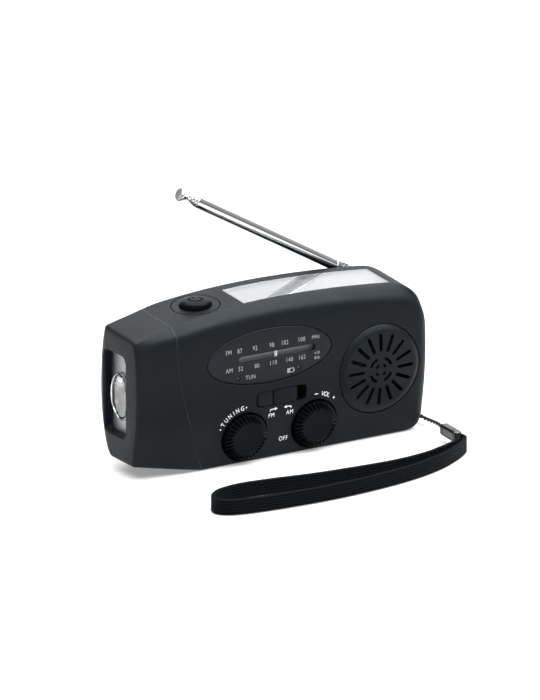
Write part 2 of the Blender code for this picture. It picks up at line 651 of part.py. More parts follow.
def make_crank():
    spindle = mesh_object("crank_spindle", moved(
        lathe([(0, 0), (1.8, 0.2), (2.0, 0.4), (2.0, 11.5), (8.0, 11.5), (8.0, 12.8), (7.6, 13.2),
               (0, 13.2)], 32),
        along_y(CRANK_X, 3.4, CRANK_Z)), black_plastic(), (CRANK_X, 16.0, CRANK_Z))
    ear = circle(CRANK_X, CRANK_HINGE_Y, 2.5, 20)[0:11]
    ear = ear + [(CRANK_X - 2.5, 16.0), (CRANK_X + 2.5, 16.0)]
    for side, name in ((-1, "lower_ear"), (1, "upper_ear")):
        ends = sorted((CRANK_Z + side * 3.9, CRANK_Z + side * 5.5))
        add(spindle, name, prism_z(ear, ends[0], ends[1]))
    cut(spindle, "ear_bore", prism_z(circle(CRANK_X, CRANK_HINGE_Y, 1.3, 12), 20, 45))
    mesh_object("crank_hinge_pin", moved(lathe([(0, 0), (0.8, 0.1), (1.0, 0.3), (1.0, 10.7),
                                                (0.8, 10.9), (0, 11.0)], 12),
                                         Matrix.Translation((CRANK_X, CRANK_HINGE_Y, CRANK_Z - 5.5))),
                steel(), (CRANK_X, CRANK_HINGE_Y, CRANK_Z))
    y_far, y_near = (hinge_mirror((0, y))[1] for y in ARM_FOLDED_Y)
    knob_x = CRANK_X + CRANK_REACH
    bar = [(CRANK_X, CRANK_Z - 3.4), (knob_x - 6, CRANK_Z - 3.4)]
    bar += [(knob_x + 5.5 * math.cos(a), CRANK_Z + 5.5 * math.sin(a))
            for a in (math.radians(-110 + 20 * i) for i in range(12))]
    bar += [(knob_x - 6, CRANK_Z + 3.4), (CRANK_X, CRANK_Z + 3.4)]
    arm = mesh_object("crank_arm", prism_y(bar, y_near, y_far), black_plastic(),
                      (CRANK_X, CRANK_HINGE_Y, CRANK_Z))
    barrel = prism_z(circle(CRANK_X, CRANK_HINGE_Y, 2.3, 16), CRANK_Z - 3.5, CRANK_Z + 3.5)
    add(arm, "arm_barrel", barrel)
    cut(arm, "arm_bore", prism_z(circle(CRANK_X, CRANK_HINGE_Y, 1.3, 12), 20, 45))
    cut(arm, "arm_pin_hole", prism_y(circle(knob_x, CRANK_Z, 1.75, 16), 20, 45))
    pin = lathe([(0, 0), (1.45, 0.1), (1.45, 13.9), (2.6, 14.0), (2.6, 14.8), (2.0, 15.2), (0, 15.2)], 16)
    mesh_object("crank_knob_pin", moved(pin, along_y(knob_x, y_near + 0.1, CRANK_Z)), steel(),
                (knob_x, y_far, CRANK_Z))
    base = y_far + GAP
    length = CRANK_KNOB_LENGTH
    radius = CRANK_KNOB_RADIUS
    knob = lathe([(1.75, 0), (4.6, 0), (5.0, 0.5), (4.6, 3.4), (4.7, 6.0), (radius, length - 2.0),
                  (radius, length - 0.8), (4.7, length), (3.2, length), (3.2, length - 1.4),
                  (1.75, length - 1.4)], 32)
    mesh_object("crank_knob", moved(knob, along_y(knob_x, base, CRANK_Z)), black_plastic(),
                (knob_x, base, CRANK_Z))


# ============================== front controls ==================================
def fluted_ring(radius, depth, height, twist=0.0):
    points = []
    for i in range(2 * FLUTES):
        reach = radius if i % 2 == 0 else radius - depth
        angle = 2 * math.pi * (i + twist) / (2 * FLUTES)
        points.append((reach * math.cos(angle), reach * math.sin(angle), height))
    return points


def make_knob(name, x):
    rings = [fluted_ring(KNOB_RADIUS, 0.5, KNOB_RECESS_DEPTH - 0.4),
             fluted_ring(KNOB_RADIUS, 0.6, -0.6),
             fluted_ring(KNOB_RADIUS - 1.0, 0.5, -2.0, 1.0),
             fluted_ring(6.9, 0.1, -3.0, 2.0),
             fluted_ring(6.4, 0.0, -2.8, 2.0)]
    place = face_frame(x)
    knob = mesh_object(name, moved(loft(rings), place), black_plastic(), place.translation)
    cut(knob, name + "_socket", moved(prism_z(circle(0, 0, 3.2, 20), -1.5, 9), place))


def make_tuning():
    make_knob("tuning_knob", TUNING_X)
    make_knob("volume_knob", VOLUME_X)
    place = face_frame(TUNING_X)
    shaft = mesh_object("tuning_shaft", moved(prism_z(circle(0, 0, 2.9, 20), -1.2, 16.5), place),
                        white_plastic(), place.translation)
    outline = gear_outline(PINION_TEETH, -math.pi / 2)
    add(shaft, "tuning_pinion", moved(prism_z(outline, *RACK_LEVEL), place))
    volume = face_frame(VOLUME_X)
    mesh_object("volume_shaft", moved(prism_z(circle(0, 0, 2.9, 20), -1.2, 8.6), volume),
                white_plastic(), volume.translation)
    make_rack(place)


def make_rack(place):
    """Rack over the pinion, with a stem up to the pointer in the dial slot."""
    pitch_line = PINION_TEETH * MODULE / 2 + MESH_SLACK
    step = math.pi * MODULE
    left, right = -33.0 - TUNING_X, -0.8 - TUNING_X
    points = [(left, -(pitch_line + 4.0)), (left, -(pitch_line + DEDENDUM))]
    first = math.ceil((left + ROOT_HALF) / step - 0.5)
    last = math.floor((right - ROOT_HALF) / step - 0.5)
    for k in range(first, last + 1):
        centre = (k + 0.5) * step
        points += [(centre - ROOT_HALF, -(pitch_line + DEDENDUM)),
                   (centre - TIP_HALF, -(pitch_line - ADDENDUM)),
                   (centre + TIP_HALF, -(pitch_line - ADDENDUM)),
                   (centre + ROOT_HALF, -(pitch_line + DEDENDUM))]
    points += [(right, -(pitch_line + DEDENDUM)), (right, -(pitch_line + 4.0))]
    rack = mesh_object("pointer_rack", moved(prism_z(points, *RACK_LEVEL), place),
                       material("pointer", (0.85, 0.82, 0.78), 0.4), (POINTER_X, -14.0, DIAL_Z))
    offset = POINTER_X - TUNING_X
    stem = [(offset - 1.8, -(pitch_line + 3.0)), (offset + 1.8, -(pitch_line + 3.0)),
            (offset + 1.2, -27.6), (offset - 1.2, -27.6)]
    add(rack, "pointer_stem", moved(prism_z(stem, RACK_LEVEL[0], RACK_LEVEL[0] + 1.5), place))
    add(rack, "pointer_bridge", box((POINTER_X - 1.2, POINTER_X + 1.2), (-17.2, -13.4),
                                    (37.6, 39.2)))
    add(rack, "pointer_needle", box((POINTER_X - 0.6, POINTER_X + 0.6), (-17.2, -16.8),
                                    (38.0, DIAL_Z + 1.2)))


def make_band_switch():
    left = BAND_X - BAND_LENGTH / 2 + GAP
    right = BAND_X + BAND_LENGTH / 2 - GAP - BAND_TRAVEL
    centre = (left + right) / 2
    face = rounded(left, right, BAND_Z - BAND_HEIGHT / 2 + GAP, BAND_Z + BAND_HEIGHT / 2 - GAP, 1.0, 3)
    slider = mesh_object("band_slider", prism_y(face, -18.4, -15.8), black_plastic(),
                         (centre, -17.0, BAND_Z))
    ridge = box((centre - 0.45, centre + 0.45), (-19.0, -18.0), (BAND_Z - 2.4, BAND_Z + 2.4))
    add(slider, "slider_ridge", ridge)
    add(slider, "slider_flange", box((left - 1.3, right + 1.3), (-16.0, -15.4), (22.4, 28.4)))
    mesh_object("band_switch", box((-10, 6.5), (-15.0, -13.3), (22.2, 27.6)), steel())


def make_boards():
    board = mesh_object("main_board", moved(prism_z(rectangle(-27, 24, -24, 7), 10.0, 11.6),
                                            face_frame(0)), board_green())
    cut(board, "board_hole", moved(prism_z(circle(TUNING_X, 0, 3.6, 20), 5, 15), face_frame(0)))
    tuner = mesh_object("tuning_capacitor", moved(
        prism_z(rectangle(-27, -7, -10, 8), 11.9, 18.4), face_frame(0)), clear_plastic())
    cut(tuner, "tuner_bore", moved(prism_z(circle(TUNING_X, 0, 3.2, 20), 5, 17.0), face_frame(0)))
    pot = mesh_object("volume_control", moved(
        prism_z(rectangle(VOLUME_X - 7.5, VOLUME_X + 7.5, -5.3, 7.0), 5.6, 9.7), face_frame(0)),
        material("phenolic", (0.30, 0.17, 0.07), 0.5))
    cut(pot, "pot_bore", moved(prism_z(circle(VOLUME_X, 0, 3.2, 20), 2, 9.0), face_frame(0)))
    mesh_object("torch_board", box((-35, -22), (-7, 5), (44.0, 45.2)), board_green())
    switch = mesh_object("torch_switch", box((BUTTON_X - 3, BUTTON_X + 3),
                                             (BUTTON_Y - 3, BUTTON_Y + 3), (45.5, 48.9)), steel())
    add(switch, "switch_plunger", prism_z(circle(BUTTON_X, BUTTON_Y, 1.6, 12), 48.5, 49.8))
    mesh_object("battery_pack", moved(lathe([(0, 0), (6.6, 0), (6.8, 0.3), (6.8, 49.4), (6.5, 49.8),
                                             (2.6, 49.8), (2.6, 50.6), (0, 50.6)], 24),
                                      along_x(-4.4, 3.6, 10.7)),
                material("battery_wrap", (0.05, 0.22, 0.10), 0.35))
    mesh_object("ferrite_rod", moved(lathe([(0, 0), (2.7, 0), (2.7, 56), (0, 56)], 16),
                                     along_x(-23, -10.6, 53.4)),
                material("ferrite", (0.06, 0.055, 0.05), 0.6))
    mesh_object("antenna_coil", moved(lathe([(3.0, 0), (3.4, 0), (3.4, 14), (3.0, 14)], 16),
                                      along_x(-2, -10.6, 53.4)),
                material("copper", (0.62, 0.28, 0.12), 0.35, 1.0))


# ============================== top and torch ==================================
def make_solar(skins):
    x0, x1, y0, y1 = PANEL_X[0] + GAP, PANEL_X[1] - GAP, PANEL_Y[0] + GAP, PANEL_Y[1] - GAP
    cover = mesh_object("solar_cover", box((x0, x1), (y0, y1), (45, 75)), clear_plastic())
    boolean(cover, skins["outer"], "INTERSECT")
    boolean(cover, skins["thin"], "DIFFERENCE")
    cell = mesh_object("solar_cell", box((x0 + 1.8, x1 - 1.8), (y0 + 1.8, y1 - 1.8), (45, 75)),
                       material("silicon", (0.02, 0.03, 0.08), 0.2))
    boolean(cell, skins["deep"], "INTERSECT")
    boolean(cell, skins["cell"], "DIFFERENCE")


def make_torch_button():
    button = lathe([(0, 51.3), (1.6, 51.3), (1.6, 55.6), (7.0, 55.8), (7.0, 56.6), (5.9, 56.7),
                    (5.9, 61.5), (5.3, 62.1), (3.2, 62.75), (0, 63.0)], 32)
    mesh_object("torch_button", moved(button, Matrix.Translation((BUTTON_X, BUTTON_Y, 0))),
                black_plastic(), (BUTTON_X, BUTTON_Y, 60.0))


LED_SPOTS = ((-1.9, 4.3), (1.9, 0.0), (-1.9, -4.3))


def make_torch():
    plate = mesh_object("torch_reflector", prism_x(
        rounded(-8.9, 8.6, WINDOW_Z[0] - 0.9, WINDOW_Z[1] + 1.0, 4.2), REFLECTOR_X, REFLECTOR_X + 0.9),
        chrome())
    outer = loft([[(x, y, z) for y, z in circle(0, REFLECTOR_Z, a, 32, b)] for x, a, b in
                  ((-61.0, REFLECTOR_A, REFLECTOR_B), (-58.0, REFLECTOR_A, REFLECTOR_B),
                   (-53.2, 5.6, 7.8))])
    add(plate, "reflector_cup", outer)
    bowl = loft([[(x, y, z) for y, z in circle(0, REFLECTOR_Z, a, 32, b)] for x, a, b in
                 ((-63.0, REFLECTOR_A - 0.8, REFLECTOR_B - 0.8),
                  (-58.2, REFLECTOR_A - 0.8, REFLECTOR_B - 0.8), (-54.2, 4.8, 7.0))])
    cut(plate, "reflector_bowl", bowl)
    for i, (y, z) in enumerate(LED_SPOTS):
        spot = REFLECTOR_Z + z
        cut(plate, f"led_seat_{i}", prism_x(circle(y, spot, 1.7, 16), -60, -50))
        led = lathe([(0, 0), (0.8, 0.2), (1.3, 0.8), (1.4, 1.5), (1.4, 4.2), (0, 4.2)], 16)
        mesh_object(f"torch_led_{i + 1}", moved(led, along_x(-57.0, y, spot)),
                    material("led_epoxy", (0.85, 0.86, 0.80), 0.1))
    lens = loft([[(x, y, z) for y, z in circle(0, REFLECTOR_Z, a, 32, b)] for x, a, b in
                 ((-61.2, 4.4, 6.6), (-60.8, REFLECTOR_A - 1.1, REFLECTOR_B - 1.1),
                  (-59.8, REFLECTOR_A - 1.1, REFLECTOR_B - 1.1))])
    mesh_object("torch_lens", lens, clear_plastic())
    mesh_object("torch_led_board", prism_x(rounded(-7, 7, REFLECTOR_Z - 9, REFLECTOR_Z + 9, 1.5, 2),
                                           -52.5, -51.3), board_green())


# ============================== antenna ==================================
def make_antenna():
    lower = box((43.0, 50.4), (11.1, 15.9), (53.1, 54.1))
    bracket = mesh_object("antenna_bracket", lower, steel())
    ear = circle(ANTENNA_X, ANTENNA_Z, 2.4, 20)[0:11]
    ear = ear + [(ANTENNA_X - 2.4, 53.6), (ANTENNA_X + 2.4, 53.6)]
    for name, y in (("near_ear", 11.12), ("far_ear", 14.88)):
        add(bracket, name, prism_y(ear, y, y + 1.0))
    cut(bracket, "bracket_bore", prism_y(circle(ANTENNA_X, ANTENNA_Z, 1.2, 12), 5, 25))
    mesh_object("antenna_pivot", moved(lathe([(0, 0), (0.9, 0.1), (0.9, 5.1), (1.9, 5.2), (1.9, 5.9),
                                              (1.4, 6.2), (0, 6.2)], 16),
                                       along_y(ANTENNA_X, 11.0, ANTENNA_Z)), steel())
    place = (Matrix.Translation((ANTENNA_X, ANTENNA_Y, ANTENNA_Z))
             @ Matrix.Rotation(ANTENNA_LIFT - math.pi / 2, 4, "Y"))
    origin = place.translation
    first = ANTENNA_RADII[0]
    tube = lathe([(first, 5.4), (first, 76.7), (first - TUBE_WALL, 76.7), (first - TUBE_WALL, 5.4)], 16)
    base = mesh_object("antenna_base", moved(tube, place), chrome(), origin)
    collar = lathe([(0, 3.3), (1.9, 3.3), (2.35, 3.8), (2.35, 6.0), (0, 6.0)], 16)
    add(base, "antenna_collar", moved(collar, place))
    lug = [(x, z) for x, z in circle(0, 0, 2.4, 20, phase=math.pi)[0:11]] + [(2.2, 4.0), (-2.2, 4.0)]
    tab = prism_y(lug, -1.0, 1.0)
    add(base, "antenna_lug", moved(tab, place))
    cut(base, "lug_bore", moved(prism_y(circle(0, 0, 1.2, 12), -5, 5), place))
    for i, start, end in ((1, 6.4, 77.9), (2, 7.2, 79.1)):
        radius = ANTENNA_RADII[i]
        inner = radius - TUBE_WALL
        stage = lathe([(radius, start), (radius, end), (inner, end), (inner, start)], 16)
        mesh_object(f"antenna_stage_{i}", moved(stage, place), chrome(), origin)
    rod = lathe([(0, 8.0), (1.0, 8.2), (1.0, 81.0), (1.7, 81.8), (2.7, 84.0), (2.7, 84.5), (2.2, 84.9),
                 (0, 85.1)], 16)
    mesh_object("antenna_rod", moved(rod, place), chrome(), origin)


# ============================== port and strap ==================================
def make_port():
    shell = mesh_object("usb_socket", box((57.2, 61.4), (-6.6, -3.8), (23.8, 31.2)), steel())
    cut(shell, "usb_room", box((58.0, 70), (-6.1, -4.3), (24.3, 30.7)))
    flap = rounded(-9.2, -1.3, 23.3, 31.7, 0.5, 2)
    mesh_object("port_cover", prism_x(flap, 62.2, 63.3), material("rubber", (0.02, 0.02, 0.02), 0.8),
                (62.75, -5.2, 23.9))


CORD_ROUTE = ((60.3, -0.9, 7.6), (62.4, -1.6, 6.4), (64.4, -4.2, 4.2), (65.3, -8.4, 2.7),
              (65.4, -13.5, 2.6), (64.8, -19.0, 3.2), (63.6, -24.6, 4.0), (62.0, -29.4, 4.6),
              (61.35, -31.1, 4.8))
WEBBING_ROUTE = ((59.3, -44.0), (59.1, -46.0), (57.0, -48.4), (52.4, -51.0), (45.8, -53.6),
                 (37.0, -56.2), (24.0, -57.7), (8.0, -57.0), (-10.0, -55.2), (-27.0, -52.2),
                 (-40.0, -50.8), (-49.6, -52.4), (-55.2, -56.6), (-56.6, -61.6), (-52.6, -65.4),
                 (-44.0, -67.7), (-30.0, -69.2), (-10.0, -69.9), (10.0, -68.4), (28.0, -65.2),
                 (42.0, -60.4), (52.0, -54.9), (58.4, -50.2), (61.2, -47.0), (61.25, -44.0))


def smooth_route(points, steps):
    """Catmull-Rom curve through the route's points."""
    padded = [points[0], *points, points[-1]]
    path = []
    for a, b, c, d in zip(padded, padded[1:], padded[2:], padded[3:]):
        for k in range(steps):
            t = k / steps
            path.append([0.5 * (2 * q + (r - p) * t + (2 * p - 5 * q + 4 * r - s) * t * t
                                + (3 * q - p - 3 * r + s) * t ** 3)
                         for p, q, r, s in zip(a, b, c, d)])
    return path + [list(points[-1])]


def make_strap():
    mesh_object("strap_pin", prism_z(circle(*STRAP_PIN, 0.9, 12), 3.8, 12.7), steel())
    curve = bpy.data.curves.new("strap_cord", "CURVE")
    curve.dimensions = "3D"
    curve.bevel_depth = CORD_RADIUS * MM
    curve.bevel_resolution = 2
    curve.use_fill_caps = True
    route = smooth_route(CORD_ROUTE, 3)
    spline = curve.splines.new("POLY")
    spline.points.add(len(route) - 1)
    for point, place in zip(spline.points, route):
        point.co = (*(v * MM for v in place), 1.0)
    cord = bpy.data.objects.new("strap_cord", curve)
    bpy.context.scene.collection.objects.link(cord)
    webbing = material("webbing", (0.012, 0.013, 0.018), 0.9)
    curve.materials.append(webbing)
    make_ferrule()
    path = smooth_route(WEBBING_ROUTE, 3)
    left, right = [], []
    for i, (x, y) in enumerate(path):
        before, after = path[max(i - 1, 0)], path[min(i + 1, len(path) - 1)]
        along = Vector((after[0] - before[0], after[1] - before[1])).normalized()
        half = WEBBING_THICK / 2
        left.append((x - along.y * half, y + along.x * half))
        right.append((x + along.y * half, y - along.x * half))
    mesh_object("strap_webbing", prism_z(left + right[::-1], 0.05, WEBBING_WIDTH), webbing)


def make_ferrule():
    start, end = Vector(FERRULE_START), Vector(FERRULE_END)
    run = end - start
    place = (Matrix.Translation((start.x, start.y, 0))
             @ Matrix.Rotation(math.atan2(run.y, run.x), 4, "Z"))
    body = prism_x(rounded(-1.8, 1.8, *FERRULE_Z, 0.8, 2), 0, run.length)
    mesh_object("strap_ferrule", moved(body, place), black_plastic())


def main():
    for obj in list(bpy.data.objects):
        bpy.data.objects.remove(obj)
    depths = {"outer": 0.0, "mid": 0.9, "thin": 1.2, "deep": 1.6, "inner": WALL, "cell": 2.3}
    skins = {name: guide("skin_" + name, case_solid(depth)) for name, depth in depths.items()}
    make_front_shell(skins)
    make_rear_shell(skins)
    make_torch_head(skins)
    make_screws()
    make_dial(skins)
    make_grille()
    make_speaker()
    make_gear_train()
    make_crank()
    make_tuning()
    make_band_switch()
    make_boards()
    make_solar(skins)
    make_torch_button()
    make_torch()
    make_antenna()
    make_port()
    make_strap()


main()
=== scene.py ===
import math

import bmesh
import bpy
import numpy as np
from mathutils import Matrix, Vector


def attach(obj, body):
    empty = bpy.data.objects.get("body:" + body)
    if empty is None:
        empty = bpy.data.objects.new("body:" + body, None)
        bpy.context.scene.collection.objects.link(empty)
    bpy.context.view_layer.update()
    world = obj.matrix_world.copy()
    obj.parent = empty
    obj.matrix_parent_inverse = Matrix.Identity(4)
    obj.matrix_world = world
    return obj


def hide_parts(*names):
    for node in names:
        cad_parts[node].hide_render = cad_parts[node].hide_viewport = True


# Emergency radio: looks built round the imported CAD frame.
# Lengths in this file are millimetres; MM turns them into Blender's metres.

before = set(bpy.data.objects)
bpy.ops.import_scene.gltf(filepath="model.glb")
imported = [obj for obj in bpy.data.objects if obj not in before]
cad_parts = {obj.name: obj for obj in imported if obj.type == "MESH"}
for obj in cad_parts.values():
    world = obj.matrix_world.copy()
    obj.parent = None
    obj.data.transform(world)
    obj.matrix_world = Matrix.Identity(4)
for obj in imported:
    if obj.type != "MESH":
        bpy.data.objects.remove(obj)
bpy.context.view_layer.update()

MM = 0.001
scene = bpy.context.scene
scene.view_settings.view_transform = "Standard"
rad = math.radians

# ------------------------------------------------------------------ camera
VIEW_AZIMUTH, VIEW_ELEVATION = rad(-31.6), rad(18.1)
AIM = Vector((-1.6, -10.0, 40.4)) * MM
VIEW_DISTANCE = 9.0
SEEN_HEIGHT = 0.2612


def direction(azimuth, elevation):
    """Unit vector from the object towards a place seen at these angles."""
    return Vector((math.sin(azimuth) * math.cos(elevation), -math.cos(azimuth) * math.cos(elevation),
                   math.sin(elevation)))


def look_from(holder, target, way, distance):
    holder.location = target + way * distance
    holder.rotation_mode = "QUATERNION"
    holder.rotation_quaternion = (-way).to_track_quat("-Z", "Y")


def make_camera():
    camera = bpy.data.cameras.new("camera")
    camera.sensor_width = 36.0
    camera.lens = 36.0 * VIEW_DISTANCE / SEEN_HEIGHT
    camera.clip_start, camera.clip_end = 0.1, 40.0
    holder = bpy.data.objects.new("camera", camera)
    scene.collection.objects.link(holder)
    back = direction(VIEW_AZIMUTH, VIEW_ELEVATION)
    look_from(holder, AIM, back, VIEW_DISTANCE)
    scene.camera = holder


make_camera()


# --------------------------------------------------------------- materials
class Paint:
    """A procedural material under construction."""

    def __init__(self, name, color, roughness, metallic=0.0):
        self.made = bpy.data.materials.new(name)
        self.made.use_nodes = True
        self.nodes = self.made.node_tree.nodes
        self.links = self.made.node_tree.links
        self.shader = self.nodes["Principled BSDF"]
        self.color = color
        self.roughness = roughness
        self.set("Base Color", (*color, 1.0))
        self.set("Roughness", roughness)
        self.set("Metallic", metallic)
        self.made.diffuse_color = (*color, 1.0)
        self.bumps = None

    def set(self, socket, value):
        self.shader.inputs[socket].default_value = value

    def node(self, kind, **values):
        made = self.nodes.new(kind)
        for key, value in values.items():
            if hasattr(made, key):
                setattr(made, key, value)
            else:
                made.inputs[key.replace("_", " ")].default_value = value
        return made

    def place(self, stretch=(1, 1, 1)):
        coordinates = self.node("ShaderNodeTexCoord")
        mapping = self.node("ShaderNodeMapping", Scale=stretch)
        self.links.new(coordinates.outputs["Object"], mapping.inputs["Vector"])
        return mapping.outputs["Vector"]

    def noise(self, scale, detail, stretch):
        made = self.node("ShaderNodeTexNoise", Scale=scale, Detail=detail, Roughness=0.55)
        self.links.new(self.place(stretch), made.inputs["Vector"])
        return made.outputs["Fac"]

    def ramp(self, value, low, high, start=0.3, end=0.7):
        made = self.node("ShaderNodeMapRange")
        made.inputs["From Min"].default_value = start
        made.inputs["From Max"].default_value = end
        made.inputs["To Min"].default_value = low
        made.inputs["To Max"].default_value = high
        self.links.new(value, made.inputs["Value"])
        return made.outputs["Result"]

    def mottle(self, scale, amount, second=None, stretch=(1, 1, 1), source=None):
        """Vary the base colour between a darker tone and a lighter or second one."""
        value = source if source is not None else self.noise(scale, 4.0, stretch)
        mix = self.node("ShaderNodeMix", data_type="RGBA")
        dark = [c * (1 - amount) for c in self.color]
        light = second if second is not None else [c * (1 + amount) for c in self.color]
        mix.inputs[6].default_value = (*dark, 1.0)
        mix.inputs[7].default_value = (*light, 1.0)
        self.links.new(self.ramp(value, 0.0, 1.0), mix.inputs[0])
        self.links.new(mix.outputs[2], self.shader.inputs["Base Color"])
        return self

    def smudge(self, scale, amount):
        """Vary the roughness by an amount either way."""
        value = self.ramp(self.noise(scale, 3.0, (1, 1, 1)), self.roughness - amount,
                          self.roughness + amount)
        self.links.new(value, self.shader.inputs["Roughness"])
        return self

    def paint_light_by_facing(self, way, stops):
        """Painted shade and highlight: grey level by how far the surface, in its own frame, faces a
        direction.
        """
        coordinates = self.node("ShaderNodeTexCoord")
        facing = self.node("ShaderNodeVectorMath", operation="DOT_PRODUCT")
        facing.inputs[1].default_value = way
        self.links.new(coordinates.outputs["Normal"], facing.inputs[0])
        ramp = self.node("ShaderNodeValToRGB")
        scaled = self.ramp(facing.outputs["Value"], 0.0, 1.0, -1.0, 1.0)
        self.links.new(scaled, ramp.inputs["Fac"])
        points = ramp.color_ramp.elements
        while len(points) < len(stops):
            points.new(0.5)
        for point, (place, _) in zip(points, stops):
            point.position = place
        for point, (_, grey) in zip(points, stops):
            point.color = (grey, grey * 1.01, grey * 1.02, 1.0)
        self.links.new(ramp.outputs["Color"], self.shader.inputs["Base Color"])
        return self

    def bump(self, scale=None, depth=0.02, stretch=(1, 1, 1), source=None, detail=2.0):
        """Add relief: depth is in millimetres."""
        value = source if source is not None else self.noise(scale, detail, stretch)
        made = self.node("ShaderNodeBump", Strength=1.0, Distance=depth * MM)
        self.links.new(value, made.inputs["Height"])
        if self.bumps is not None:
            self.links.new(self.bumps, made.inputs["Normal"])
        self.bumps = made.outputs["Normal"]
        self.links.new(self.bumps, self.shader.inputs["Normal"])
        return self


